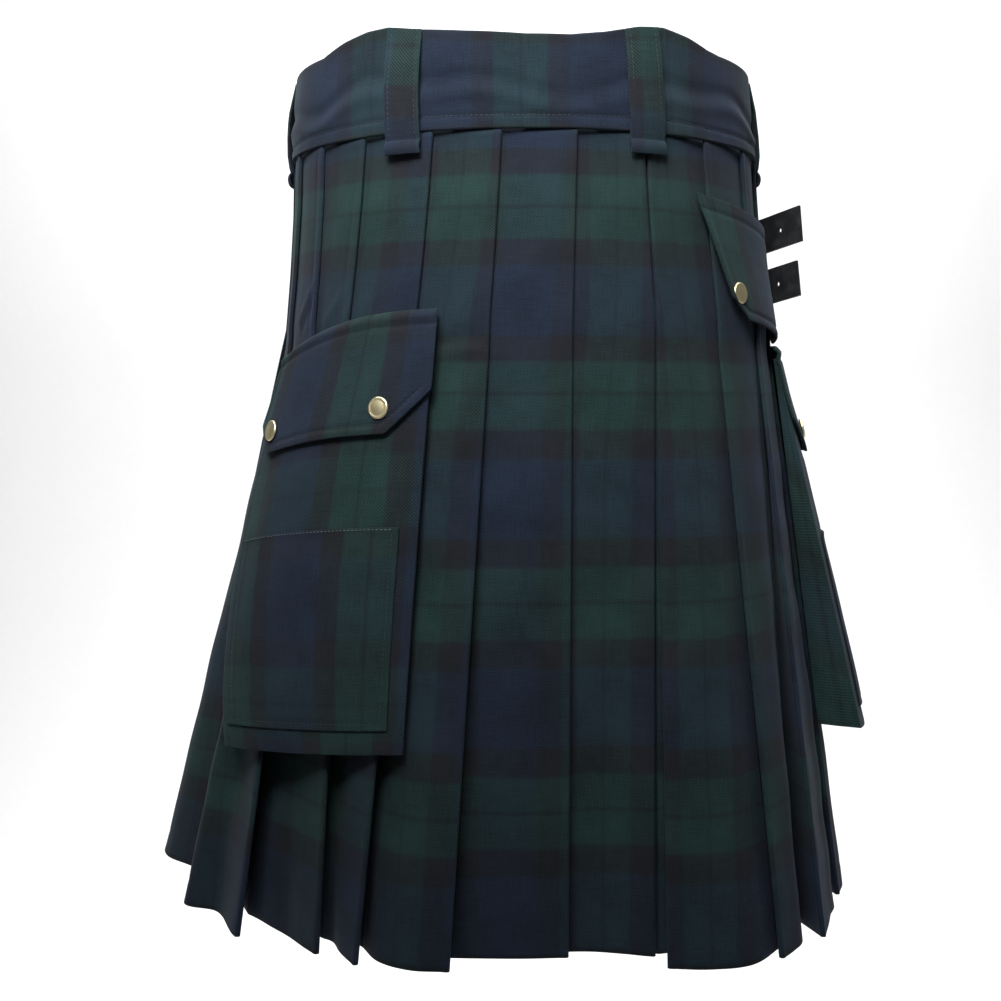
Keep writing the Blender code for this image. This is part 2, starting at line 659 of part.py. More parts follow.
def strap_line(buckle, up, free):
    """The strap's middle line in plan, at its upper or lower edge.

    It lies on the hip, passes under the far bar, climbs over the bar that the tab holds,
    and ends free.
    """
    half, half_long = STRAP_THICK / 2, BUCKLE_LONG / 2
    sewn = np.linspace(STRAP_SEWN_TURN, STRAP_LEAVES_TURN, 8)
    line = list(plan(sewn, buckle.drop - up, CLEAR + half))
    places = (
        (-half_long, BUCKLE_OFF - BAR_RADIUS - CLEAR - half),
        (-half_long / 3, OVER_TAB * STRAP_CLIMB[0]),
        (half_long / 3, OVER_TAB * STRAP_CLIMB[1]),
        (half_long, OVER_TAB),
        (half_long + free / 2, OVER_TAB + STRAP_END_OFF * 2 / 3),
        (half_long + free, OVER_TAB + STRAP_END_OFF),
    )
    line += [buckle.flat(s, n, up) for s, n in places]
    return np.array(line)


def band_wall(name, lines, rise, drop, width, thick, collection):
    """A flat band of even width and thickness, on edge along its upper and lower lines."""
    edges = np.array([width / 2, -width / 2])[:, None]
    heights = TOP_Z - drop + edges + rise[None, :]

    def side(distance):
        flat = np.array([offset_line(line, distance) for line in lines])
        return np.concatenate([flat, heights[..., None]], axis=-1)

    return wall(name, side(thick / 2), side(-thick / 2), "strap", collection)


def cut_slot(target, buckle, at, long, wide, collection):
    """A punched hole with round ends, cut outwards through a band at a buckle's place."""
    s_middle, n_middle, up_middle = at
    corners = []
    for end in (1, -1):
        for step in range(5):
            angle = math.radians(90.0 * end - 45.0 * step)
            s = end * (long - wide) / 2 + wide / 2 * math.cos(angle)
            corners.append((s_middle + s, up_middle + wide / 2 * math.sin(angle)))
    made = bmesh.new()
    rings = [
        [made.verts.new(buckle.place(s, n_middle + reach, up)) for s, up in corners]
        for reach in (-CUT_REACH, CUT_REACH)
    ]
    for i, j in zip(range(len(corners)), [*range(1, len(corners)), 0]):
        made.faces.new((rings[0][i], rings[0][j], rings[1][j], rings[1][i]))
    made.faces.new(rings[0])
    made.faces.new(rings[1])
    bmesh.ops.recalc_face_normals(made, faces=made.faces)
    mesh = bpy.data.meshes.new("cutter")
    made.to_mesh(mesh)
    made.free()
    tool = bpy.data.objects.new("cutter", mesh)
    collection.objects.link(tool)
    tool.hide_render = True
    tool.display_type = "WIRE"
    cut = target.modifiers.new("hole", "BOOLEAN")
    cut.operation = "DIFFERENCE"
    cut.object = tool


def tube(name, points, radius, closed, finish, collection):
    """A round rod along its points."""
    curve = bpy.data.curves.new(name, "CURVE")
    curve.dimensions = "3D"
    curve.bevel_depth = radius
    curve.bevel_resolution = 1
    curve.use_fill_caps = not closed
    spline = curve.splines.new("POLY")
    spline.points.add(len(points) - 1)
    for point, place in zip(spline.points, points):
        point.co = (*place, 1.0)
    spline.use_cyclic_u = closed
    made = bpy.data.objects.new(name, curve)
    curve.materials.append(material(finish))
    collection.objects.link(made)
    if not closed:
        weld = made.modifiers.new("caps", "WELD")
        weld.merge_threshold = 0.00001
    return made


def make_closure(name, drop, free, collection, cutters):
    """One strap with its buckle, prong and tab."""
    buckle = Buckle(drop)
    half_long, half_tall = BUCKLE_LONG / 2, BUCKLE_TALL / 2

    edges = (STRAP_WIDTH / 2, -STRAP_WIDTH / 2)
    lines = [strap_line(buckle, up, free) for up in edges]
    rise = np.zeros(len(lines[0]))
    rise[-2:] = STRAP_RISE * free / 2, STRAP_RISE * free
    strap = band_wall(
        f"strap_{name}", lines, rise, drop, STRAP_WIDTH, STRAP_THICK, collection
    )
    slot_at = (half_long - SLOT_FROM_BAR, BUCKLE_OFF + CUT_REACH, 0.0)
    cut_slot(strap, buckle, slot_at, HOLE_LONG, HOLE_WIDE, cutters)
    for back in HOLES_FROM_END:
        reach = free - back
        at = (half_long + reach, OVER_TAB + STRAP_END_OFF, STRAP_RISE * reach)
        cut_slot(strap, buckle, at, ROUND_HOLE_LONG, HOLE_WIDE, cutters)

    outline = []
    corners = ((1, 1, 0.0), (-1, 1, 90.0), (-1, -1, 180.0), (1, -1, 270.0))
    for s_side, up_side, start in corners:
        for angle in np.radians(start + np.array([0.0, 45.0, 90.0])):
            s = s_side * (half_long - BUCKLE_ROUND) + BUCKLE_ROUND * math.cos(angle)
            up = up_side * (half_tall - BUCKLE_ROUND) + BUCKLE_ROUND * math.sin(angle)
            outline.append(buckle.place(s, BUCKLE_OFF, up))
    tube(f"buckle_{name}", outline, BAR_RADIUS, True, "buckle_metal", collection)

    places = [(half_long + TAB_LONG, CLEAR + TAB_WALL / 2 - TAB_SINK)]
    places += [(half_long + TAB_LONG * TAB_PARTS, BUCKLE_OFF - TAB_WRAP - TAB_SINK / 2)]
    for angle in np.radians((0.0, 45.0, 90.0, 135.0, 180.0)):
        s = half_long - TAB_WRAP * math.sin(angle)
        places.append((s, BUCKLE_OFF - TAB_WRAP * math.cos(angle)))
    places.append((half_long + TAB_LONG * TAB_BACK, BUCKLE_OFF + TAB_WRAP))
    width = STRAP_WIDTH - 2 * TAB_NARROWER
    lines = [
        np.array([buckle.flat(s, n, up) for s, n in places]) for up in (width / 2, -width / 2)
    ]
    tab = band_wall(
        f"tab_{name}", lines, np.zeros(len(places)), drop, width, TAB_WALL, collection
    )
    at = (half_long - TAB_WRAP, BUCKLE_OFF + CUT_REACH, 0.0)
    cut_slot(tab, buckle, at, HOLE_LONG, HOLE_WIDE, cutters)

    points = [buckle.place(half_long - back, PRONG_REST + out) for back, out in PRONG_LINE]
    tube(f"prong_{name}", points, PRONG_RADIUS, False, "buckle_metal", collection)


def main():
    for old in list(bpy.data.objects):
        bpy.data.objects.remove(old, do_unlink=True)
    kilt = bpy.data.collections.new("utility_kilt")
    cutters = bpy.data.collections.new("cutters")
    bpy.context.scene.collection.children.link(kilt)
    bpy.context.scene.collection.children.link(cutters)
    make_waistband(kilt)
    make_aprons(kilt)
    for number in range(len(PLEATS)):
        make_pleat(number, kilt)
    for number, middle in enumerate(LOOP_TURNS, start=1):
        make_loop(number, middle, kilt)
    make_hip_flap(make_pockets(kilt), kilt)
    for name, drop, free in STRAPS:
        make_closure(name, drop, free, kilt, cutters)


main()
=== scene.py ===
"""Utility kilt: the cloth, trims and metal on its fixed frame, with a pale stage.

Metres, +Z up. -Y is the back of the figure, which the camera sees, and +X the wearer's
right. A place on the garment is a turn from the back towards the wearer's right, in
degrees, and a drop from the waistband's top edge. The lengths of the cut are the frame's.
"""

import math
from functools import partial

import bmesh
import bpy
import numpy as np
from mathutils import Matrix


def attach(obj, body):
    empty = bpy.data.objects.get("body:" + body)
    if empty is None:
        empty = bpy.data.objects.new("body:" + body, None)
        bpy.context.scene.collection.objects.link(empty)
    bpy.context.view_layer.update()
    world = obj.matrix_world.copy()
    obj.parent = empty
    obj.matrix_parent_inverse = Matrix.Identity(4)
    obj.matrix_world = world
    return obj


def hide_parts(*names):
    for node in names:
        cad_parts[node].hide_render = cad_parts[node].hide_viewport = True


bl_info = {
    "name": "Utility Kilt",
    "version": (1, 0, 0),
    "blender": (4, 5, 0),
    "location": "3D View > Sidebar > Kilt",
    "description": "Dresses a utility kilt in pleated tartan with pockets, loops and straps",
    "category": "Object",
}

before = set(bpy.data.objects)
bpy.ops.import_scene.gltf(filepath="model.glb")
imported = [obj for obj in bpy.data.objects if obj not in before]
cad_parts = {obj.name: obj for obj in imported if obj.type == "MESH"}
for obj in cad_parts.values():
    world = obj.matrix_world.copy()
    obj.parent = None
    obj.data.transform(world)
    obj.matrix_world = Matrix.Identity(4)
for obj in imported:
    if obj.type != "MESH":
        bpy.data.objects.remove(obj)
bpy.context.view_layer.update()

# The cut, as the frame has it
LENGTH = 0.610
BAND_HEIGHT = 0.061
BAND_WALL = 0.003
SEWN_TO = 0.185
TOP_Z = BAND_HEIGHT / 2
CLEAR = 0.0004
PLEAT_CLOTH = 0.0012
LAYER = 0.0018
APRON_CLOTH = 0.0015
PLEAT_INSET = 0.0012
HEM_FOLD = 0.0015
INNER_FOLD_INSET = 0.004
SEWN_DEPTH = 0.6
CENTRE_BACK = 27.0
OVER_FREE_EDGE = -211.0
OVER_SEWN_EDGE = -87.5
LEFT_JOIN = -89.0
RIGHT_JOIN = 152.0
UNDER_FREE_EDGE = 258.0
DIP_FROM, DIP_TO = 128.0, 145.0
BAND_OVERLAP_GAP = 0.0008

SECTION_COLUMNS = ("drop", "half_width", "back_depth", "front_depth", "centre_x")
SECTIONS = (
    (0.000, 0.1700, 0.1350, 0.1350, 0.0000),
    (0.030, 0.1730, 0.1358, 0.1360, 0.0000),
    (0.061, 0.1754, 0.1368, 0.1375, 0.0010),
    (0.100, 0.1775, 0.1393, 0.1390, 0.0020),
    (0.145, 0.1815, 0.1425, 0.1400, 0.0030),
    (0.185, 0.1860, 0.1455, 0.1412, 0.0038),
    (0.610, 0.2640, 0.1812, 0.1620, -0.0164),
)
RISE_COLUMNS = ("turn", "rise")
BAND_RISES = (
    (-56.0, 0.0), (-47.0, 0.0060), (-39.0, 0.0095), (-33.0, 0.0100),
    (-26.0, 0.0065), (-14.0, 0.0030), (0.0, 0.0), (10.0, 0.0),
    (18.0, 0.0030), (26.0, 0.0080), (33.0, 0.0100), (41.0, 0.0065),
    (48.0, 0.0015), (53.0, 0.0),
)
SWING, SWING_TURNS = 27.0, 80.0
FLARE, FLARE_TURNS = 0.07, 40.0

PLEAT_COLUMNS = (
    "side", "seam", "sewn", "depth",
    "end_x", "end_y", "near_end_x", "near_end_y",
    "near_fold_x", "near_fold_y", "fold_x", "fold_y",
)
PLEATS = (
    (+1, -70.0, -72.0, 0.50, None, None, -0.294, 0.048, -0.288, 0.020, -0.262, -0.002),
    (+1, -55.0, -56.0, 0.50, -0.243, -0.030, -0.250, -0.074, -0.222, -0.090, -0.201, -0.131),
    (+1, -39.5, -43.0, 0.55, -0.199, -0.094, -0.184, -0.108, -0.162, -0.132, -0.142, -0.158),
    (+1, -21.5, -25.0, 0.50, -0.139, -0.134, -0.130, -0.141, -0.123, -0.156, -0.114, -0.174),
    (+1, -6.0, -9.0, 0.55, -0.110, -0.148, -0.097, -0.169, -0.075, -0.182, -0.052, -0.185),
    (+1, 10.5, 8.0, 0.60, -0.051, -0.164, -0.025, -0.165, 0.001, -0.165, 0.027, -0.164),
    (+1, 26.2, 26.2, 0.55, 0.028, -0.155, 0.047, -0.154, 0.067, -0.157, 0.085, -0.162),
    (-1, 27.8, 27.8, 0.50, 0.172, -0.150, 0.148, -0.174, 0.121, -0.181, 0.095, -0.180),
    (-1, 45.0, 45.5, 0.50, 0.194, -0.112, 0.190, -0.138, 0.181, -0.153, 0.173, -0.164),
    (-1, 63.0, 64.0, 0.15, 0.231, -0.058, 0.228, -0.080, 0.219, -0.098, 0.209, -0.131),
    (-1, 81.0, 81.0, 0.45, 0.229, 0.012, 0.243, -0.008, 0.246, -0.034, 0.239, -0.057),
    (-1, 100.0, 100.0, 0.45, 0.209, 0.062, 0.230, 0.055, 0.243, 0.038, 0.249, 0.018),
    (-1, 119.0, 119.0, 0.45, 0.172, 0.101, 0.198, 0.100, 0.217, 0.088, 0.229, 0.072),
    (-1, 137.0, 137.0, 0.50, None, None, 0.135, 0.128, 0.163, 0.120, 0.187, 0.110),
)
LAST_LEFT = 6
CENTRE_PANEL_HEM = (0.090, -0.158)
# Where the tartan's green middle line lies on each pleat: how far it is from the fold,
# at the hem, into the face. It comes nearer the fold where the pleats are sewn.
FOLD_TO_LINE = (
    0.030, 0.052, 0.018, 0.060, 0.0365, 0.092, 0.033,
    0.027, -0.006, 0.060, 0.034, 0.080, 0.020, 0.050,
)
SEWN_TAPER = 0.014
# The weft's green middle lines: drops, and the same places along the cloth
WEFT_DROPS = (0.0, 0.1118, 0.2344, 0.3735, 0.5125, 0.6100)
WEFT_PLACES = (-0.125, 0.0, 0.137, 0.274, 0.411, 0.507)

LOOP_TURNS = (-91.0, -28.0, CENTRE_BACK, 90.0, 154.0)
LOOP_WIDTH = 0.022
LOOP_COLUMNS = ("drop", "inner", "outer")
LOOP_PROFILE = (
    (0.0005, 0.0004, 0.0022),
    (0.0080, 0.0014, 0.0032),
    (0.0220, 0.0032, 0.0050),
    (0.0400, 0.0036, 0.0054),
    (0.0540, 0.0032, 0.0050),
    (0.0650, 0.0012, 0.0030),
    (0.0680, 0.0008, 0.0044),
    (0.0755, 0.0008, 0.0040),
)

POCKET_COLUMNS = (
    "name", "near_top", "near_bottom", "far_top", "far_middle", "far_bottom",
    "drop_near", "drop_far", "off_top", "off_bottom",
    "longer", "seat_near", "seat_far",
)
POCKETS = (
    (
        "left", -20.0, -17.0, -64.0, -66.5, -54.0,
        0.187, 0.214, 0.0004, 0.0070, 0.027, 0.0070, 0.0070,
    ),
    (
        "right", 74.0, 71.0, 128.0, 119.0, 110.0,
        0.208, 0.218, 0.0004, 0.0330, -0.016, 0.0040, 0.0180,
    ),
)
POCKET_WIDTH = 0.150
POCKET_HEIGHT = 0.275
POCKET_BOW = 0.007
BAG_WALL = 0.0024
PATCH_WALL = 0.0012
PATCH_MARGINS = (0.010, 0.008)
PATCH_TOP, PATCH_BOTTOM = 0.131, 0.260
FLAP_WALL = 0.0018
FLAP_ABOVE = 0.008
FLAP_STEP = 0.004
FLAP_SIDE = 0.044
FLAP_BOTTOM = 0.071
FLAP_CORNER = 0.027
FLAP_OVERHANG = 0.003
FLAP_STITCH = 0.0062
FLAP_STANDS_OFF, HIP_STANDS_OFF, CAP_STANDS_OFF = 0.0028, 0.0022, 0.0026
BAG_CLOTH, LOOP_CLOTH = 0.0014, 0.0018
PATCH_STITCH = 0.004
SOFT_WAVE, PATCH_WAVE = 0.0007, 0.0004
BAG_SEED, PATCH_SEED, FLAP_SEED, HIP_SEED = 41, 47, 53, 61
LOOP_STITCH_SHARE = 0.74
CAP_RADIUS = 0.0075
CAP_HEIGHT = 0.0022
CAP_FROM_NEAR, CAP_FROM_FAR = 0.033, 0.025
CAP_FROM_BOTTOM = 0.017
SURFACE_REACH = 0.002
HIP_NEAR_TOP, HIP_NEAR_BOTTOM, HIP_FAR = 40.0, 49.5, 96.0
HIP_TOP_NEAR, HIP_TOP_FAR = 0.098, 0.118
HIP_BOTTOM_NEAR, HIP_BOTTOM_FAR = 0.181, 0.197
HIP_CUT, HIP_CUT_RISE = 0.016, 0.0128
HIP_WIDTH = 0.145
HIP_CAP_FROM_SIDE = 0.0115

STRAPS = (("upper", 0.113), ("lower", 0.153))
BUCKLE_TURN = 117.3
BUCKLE_LONG, BUCKLE_TALL, BAR_RADIUS = 0.026, 0.036, 0.0015
BUCKLE_OFF = 0.0048
BUCKLE_ROUND = 0.003
PRONG_RADIUS = 0.0012
PRONG_REST = BUCKLE_OFF + BAR_RADIUS + CLEAR + PRONG_RADIUS
PRONG_LINE = (
    (0.0031, -0.0016),
    (0.0048, 0.0016),
    (0.0080, 0.0039),
    (0.0120, 0.0033),
    (BUCKLE_LONG + 0.0010, 0.0),
)


# The figure's shape


def column(table, names, name):
    """One named column of a table, as an array."""
    return np.array([row[names.index(name)] for row in table], dtype=float)


def unit(v):
    """Each vector divided by its length."""
    return v / np.linalg.norm(v, axis=-1, keepdims=True)


def smooth(x, low, high):
    """0 below low, 1 above high, and 3t^2 - 2t^3 between them."""
    t = np.clip((x - low) / (high - low), 0.0, 1.0)
    return t * t * (3.0 - 2.0 * t)


def section(drop):
    """Half width, depth behind, depth in front and middle of the figure at a drop."""
    drops = column(SECTIONS, SECTION_COLUMNS, "drop")
    return [
        np.interp(drop, drops, column(SECTIONS, SECTION_COLUMNS, name))
        for name in SECTION_COLUMNS[1:]
    ]


def plan(turn, drop, lift, grow=1.0):
    """An ellipse's point (w sin t, -d cos t), moved by lift along its outward normal."""
    turn, drop, lift, grow = np.broadcast_arrays(turn, drop, lift, grow)
    wide, behind, front, middle = section(drop)
    angle = np.radians(turn)
    deep = np.where(np.cos(angle) >= 0.0, behind, front)
    out_x, out_y = np.sin(angle) * deep, -np.cos(angle) * wide
    size = np.hypot(out_x, out_y)
    x = middle + wide * grow * np.sin(angle) + lift * out_x / size
    y = -deep * grow * np.cos(angle) + lift * out_y / size
    return np.stack([x, y], axis=-1)


def apron_plan(turn, drop, lift):
    """The same for the aprons, whose sewn edge swings forwards and out below."""
    turn = np.asarray(turn, dtype=float)
    from_join = np.abs((turn - LEFT_JOIN + 180.0) % 360.0 - 180.0)
    below = np.clip((np.asarray(drop) - SEWN_TO) / (LENGTH - SEWN_TO), 0.0, 1.0)
    swing = np.clip(1.0 - from_join / SWING_TURNS, 0.0, 1.0) * below
    out = np.clip(1.0 - from_join / FLARE_TURNS, 0.0, 1.0) * below
    return plan(turn - SWING * swing, drop, lift, 1.0 + FLARE * out)


def risen(turn, drop):
    """Drops on the waistband and its loops, raised with the top edge there."""
    turns = column(BAND_RISES, RISE_COLUMNS, "turn")
    rise = np.interp(turn, turns, column(BAND_RISES, RISE_COLUMNS, "rise"))
    return drop - rise * np.clip(1.0 - drop / BAND_HEIGHT, 0.0, 1.0)


def on_figure(turn, drop, lift, lie=plan):
    """The point of a section in plan, at a height of the top edge's less the drop."""
    flat = lie(turn, drop, lift)
    z = np.broadcast_to(TOP_Z - np.asarray(drop, dtype=float), flat.shape[:-1])
    return np.concatenate([flat, z[..., None]], axis=-1)


def weft_place(drop):
    """How far down the tartan a drop lies, from the table of its green lines."""
    return np.interp(drop, WEFT_DROPS, WEFT_PLACES)


def grid_normals(points):
    """The cross product of a grid's steps down and across, to length 1."""
    down = np.gradient(points, axis=0)
    over = np.gradient(points, axis=1)
    normal = np.cross(down, over)
    size = np.linalg.norm(normal, axis=-1, keepdims=True)
    return normal / np.maximum(size, 1e-12)


def run_length(points):
    """Distances along each row of a grid, from its first column."""
    step = np.linalg.norm(np.diff(points, axis=1), axis=-1)
    return np.concatenate([np.zeros((len(points), 1)), np.cumsum(step, axis=1)], axis=1)


def waves(u, v, seed, size, count=5):
    """A sum of sine waves in seeded directions: soft unevenness of about 1 at most."""
    chance = np.random.default_rng(seed)
    total = np.zeros(np.broadcast(u, v).shape)
    for _ in range(count):
        angle, phase = chance.uniform(0.0, 2.0 * math.pi, 2)
        pitch = size * chance.uniform(0.7, 1.6)
        total = total + np.sin((u * math.cos(angle) + v * math.sin(angle)) / pitch + phase)
    return total / count


def creases(table, u, v):
    """The sum of height exp(-(d / width)^2), d being the distance to each crease's line.

    A row of the table is the line's first u and v, its last u and v, width and height.
    """
    total = np.zeros(np.broadcast(u, v).shape)
    for from_u, from_v, to_u, to_v, width, height in table:
        long_u, long_v = to_u - from_u, to_v - from_v
        along = (u - from_u) * long_u + (v - from_v) * long_v
        share = np.clip(along / (long_u**2 + long_v**2), 0.0, 1.0)
        away = np.hypot(u - from_u - long_u * share, v - from_v - long_v * share)
        total = total + height * np.exp(-((away / width) ** 2))
    return total


# Making meshes


def add_piece(name, mesh, finish):
    """Link a piece, give it its finish, let it ride on the kilt's body."""
    piece = bpy.data.objects.new(name, mesh)
    bpy.context.scene.collection.objects.link(piece)
    mesh.materials.append(finish)
    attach(piece, "root")
    return piece


def grid_quads(points, flip):
    """The four vertex numbers of each face between a grid's rows and columns."""
    rows, columns = points.shape[:2]
    index = np.arange(rows * columns).reshape(rows, columns)
    corners = [index[:-1, :-1], index[1:, :-1], index[1:, 1:], index[:-1, 1:]]
    if flip:
        corners.reverse()
    return np.stack(corners, axis=-1).reshape(-1, 4)


def add_grid(name, points, weave, finish, thick=0.0, flip=False, round_edge=0.0):
    """An open sheet from a grid of points, with its cloth coordinates in metres.

    Solidify gives it its thickness on both sides, and Bevel rounds the cut edges.
    """
    quads = grid_quads(points, flip)
    mesh = bpy.data.meshes.new(name)
    mesh.vertices.add(points.shape[0] * points.shape[1])
    mesh.vertices.foreach_set("co", points.reshape(-1).astype(np.float32))
    mesh.loops.add(quads.size)
    mesh.loops.foreach_set("vertex_index", quads.reshape(-1).astype(np.int32))
    mesh.polygons.add(len(quads))
    mesh.polygons.foreach_set("loop_start", np.arange(0, quads.size, 4, dtype=np.int32))
    mesh.polygons.foreach_set("use_smooth", np.ones(len(quads), dtype=bool))
    layer = mesh.uv_layers.new(name="cloth")
    layer.data.foreach_set("uv", weave.reshape(-1, 2)[quads.reshape(-1)].reshape(-1))
    mesh.update(calc_edges=True)
    mesh.validate()
    piece = add_piece(name, mesh, finish)
    if thick:
        solid = piece.modifiers.new("cloth thickness", "SOLIDIFY")
        solid.thickness = thick
        solid.offset = 0.0
    if round_edge:
        bevel = piece.modifiers.new("soft edge", "BEVEL")
        bevel.width = round_edge
        bevel.segments = 2
        bevel.limit_method = "ANGLE"
        bevel.angle_limit = math.radians(55.0)
    return piece


def closed_mesh(name, rings, closed_ends=True):
    """A tube through rings of points: quads between neighbours, fans over both ends."""
    count, sides = rings.shape[:2]
    index = np.arange(count * sides).reshape(count, sides)
    over = np.roll(index, -1, axis=1)
    quads = np.stack([index[:-1], over[:-1], over[1:], index[1:]], axis=-1).reshape(-1, 4)
    faces = quads.tolist()
    if closed_ends:
        faces += [index[0][::-1].tolist(), index[-1].tolist()]
    else:
        join = np.stack([index[-1], over[-1], over[0], index[0]], axis=-1)
        faces += join.tolist()
    mesh = bpy.data.meshes.new(name)
    mesh.from_pydata(rings.reshape(-1, 3).tolist(), [], faces)
    made = bmesh.new()
    made.from_mesh(mesh)
    bmesh.ops.recalc_face_normals(made, faces=made.faces)
    made.to_mesh(mesh)
    made.free()
    mesh.shade_smooth()
    return mesh


def tube_rings(path, radius, sides, closed=False):
    """Rings of radius r round a path, square to it, from a fixed upward direction."""
    path = np.asarray(path, dtype=float)
    if closed:
        along = unit(np.roll(path, -1, axis=0) - np.roll(path, 1, axis=0))
    else:
        along = unit(np.gradient(path, axis=0))
    first = unit(np.cross(along, np.array([0.31, 0.12, 0.94])))
    second = np.cross(along, first)
    angle = np.arange(sides) * 2.0 * math.pi / sides
    spread = np.broadcast_to(np.asarray(radius, dtype=float), (len(path),))[:, None, None]
    ring = np.cos(angle)[None, :, None] * first[:, None]
    ring = ring + np.sin(angle)[None, :, None] * second[:, None]
    return path[:, None] + spread * ring


def columns_at(x, place, values):
    """Each of the three columns of values, read off at x between the places."""
    return np.stack([np.interp(x, place, values[:, i]) for i in range(3)], axis=-1)


def stitches(name, runs, finish, pitch=0.0034, share=0.72, radius=0.00028):
    """Thread beads along runs of points: each is a short rod of 6 sides, thin at its ends."""
    along_share = np.array([-0.5, -0.34, 0.34, 0.5]) * share
    swell = np.array([0.25, 1.0, 1.0, 0.25])
    angle = np.arange(6) * math.pi / 3.0
    blocks = []
    for points, outward in runs:
        step = np.linalg.norm(np.diff(points, axis=0), axis=1)
        place = np.concatenate([[0.0], np.cumsum(step)])
        count = max(2, int(place[-1] / pitch))
        middle = (np.arange(count) + 0.5) * place[-1] / count
        at = columns_at(middle, place, points)
        ahead = columns_at(middle + 0.001, place, points)
        back = columns_at(middle - 0.001, place, points)
        along = unit(ahead - back)
        out = unit(columns_at(middle, place, outward))
        side = unit(np.cross(out, along))
        steps = (along_share * pitch)[None, :, None, None]
        centre = at[:, None, None] + along[:, None, None] * steps
        ring = (
            np.cos(angle)[None, None, :, None] * side[:, None, None]
            + 0.8 * np.sin(angle)[None, None, :, None] * out[:, None, None]
        )
        blocks.append(centre + ring * (radius * swell)[None, :, None, None])
    beads = np.concatenate(blocks)
    count = len(beads)
    index = np.arange(count * 24).reshape(count, 4, 6)
    over = np.roll(index, -1, axis=2)
    quads = np.stack([index[:, :-1], over[:, :-1], over[:, 1:], index[:, 1:]], axis=-1)
    faces = quads.reshape(-1, 4).tolist()
    faces += index[:, 0, ::-1].tolist()
    faces += index[:, -1].tolist()
    mesh = bpy.data.meshes.new(name)
    mesh.from_pydata(beads.reshape(-1, 3).tolist(), [], faces)
    mesh.shade_smooth()
    return add_piece(name, mesh, finish)


def cut_sheet(points):
    """The width of each row of a hanging sheet, worked out and not kept."""
    widths = run_length(points)[:, -1]


# Finishes


class Nodes:
    """Short calls that add nodes to one material."""

    def __init__(self, name):
        self.material = bpy.data.materials.new(name)
        self.material.use_nodes = True
        self.tree = self.material.node_tree
        self.shader = self.tree.nodes["Principled BSDF"]

    def link(self, source, target):
        self.tree.links.new(source, target)

    def add(self, kind, **values):
        node = self.tree.nodes.new(kind)
        for key, value in values.items():
            setattr(node, key, value)
        return node

    def math(self, operation, first, second=0.0):
        node = self.add("ShaderNodeMath", operation=operation)
        for socket, value in zip(node.inputs, (first, second)):
            if isinstance(value, (int, float)):
                socket.default_value = value
            else:
                self.link(value, socket)
        return node.outputs[0]

    def mix(self, factor, first, second, blend="MIX"):
        node = self.add("ShaderNodeMix", data_type="RGBA", blend_type=blend)
        sockets = (node.inputs[0], node.inputs[6], node.inputs[7])
        for socket, value in zip(sockets, (factor, first, second)):
            if isinstance(value, (int, float)):
                socket.default_value = value
            elif isinstance(value, tuple):
                socket.default_value = (*value, 1.0)
            else:
                self.link(value, socket)
        return node.outputs[2]

    def noise(self, vector, scale, detail=2.0, rough=0.5):
        node = self.add("ShaderNodeTexNoise")
        node.inputs["Scale"].default_value = scale
        node.inputs["Detail"].default_value = detail
        node.inputs["Roughness"].default_value = rough
        self.link(vector, node.inputs["Vector"])
        return node.outputs["Fac"]

    def scaled(self, vector, x, y, z=1.0):
        node = self.add("ShaderNodeMapping")
        node.inputs["Scale"].default_value = (x, y, z)
        self.link(vector, node.inputs["Vector"])
        return node.outputs["Vector"]

    def ramp(self, factor, stops, interpolation="LINEAR"):
        node = self.add("ShaderNodeValToRGB")
        node.color_ramp.interpolation = interpolation
        elements = node.color_ramp.elements
        while len(elements) < len(stops):
            elements.new(0.5)
        for element, (place, colour) in zip(elements, stops):
            element.position = place
            element.color = (*colour, 1.0) if len(colour) == 3 else colour
        self.link(factor, node.inputs["Fac"])
        return node.outputs["Color"]

    def bump(self, height, strength, distance, below=None):
        node = self.add("ShaderNodeBump")
        node.inputs["Strength"].default_value = strength
        node.inputs["Distance"].default_value = distance
        self.link(height, node.inputs["Height"])
        if below:
            self.link(below, node.inputs["Normal"])
        return node.outputs["Normal"]


def sett_stops(cloth, colours):
    """The tartan's repeat from mid blue to mid blue, as stops of a ramp.

    Half the blue, dark, green with a dark line in its middle, dark, half the blue.
    """
    half_green = cloth.green_width / 2 / cloth.repeat
    half_dark = half_green + cloth.dark_width / cloth.repeat
    line = cloth.line_width / 2 / cloth.repeat
    soft = cloth.band_softness / cloth.repeat
    green, blue, dark = tuple(colours.green), tuple(colours.blue), tuple(colours.dark)
    thin = tuple(colours.line)
    edges = (
        (0.5 - half_dark, blue, dark),
        (0.5 - half_green, dark, green),
        (0.5 - line, green, thin),
        (0.5 + line, thin, green),
        (0.5 + half_green, green, dark),
        (0.5 + half_dark, dark, blue),
    )
    stops = [(0.0, blue)]
    for place, before, after in edges:
        stops += [(place - soft / 2, before), (place + soft / 2, after)]
    return stops + [(1.0, blue)]


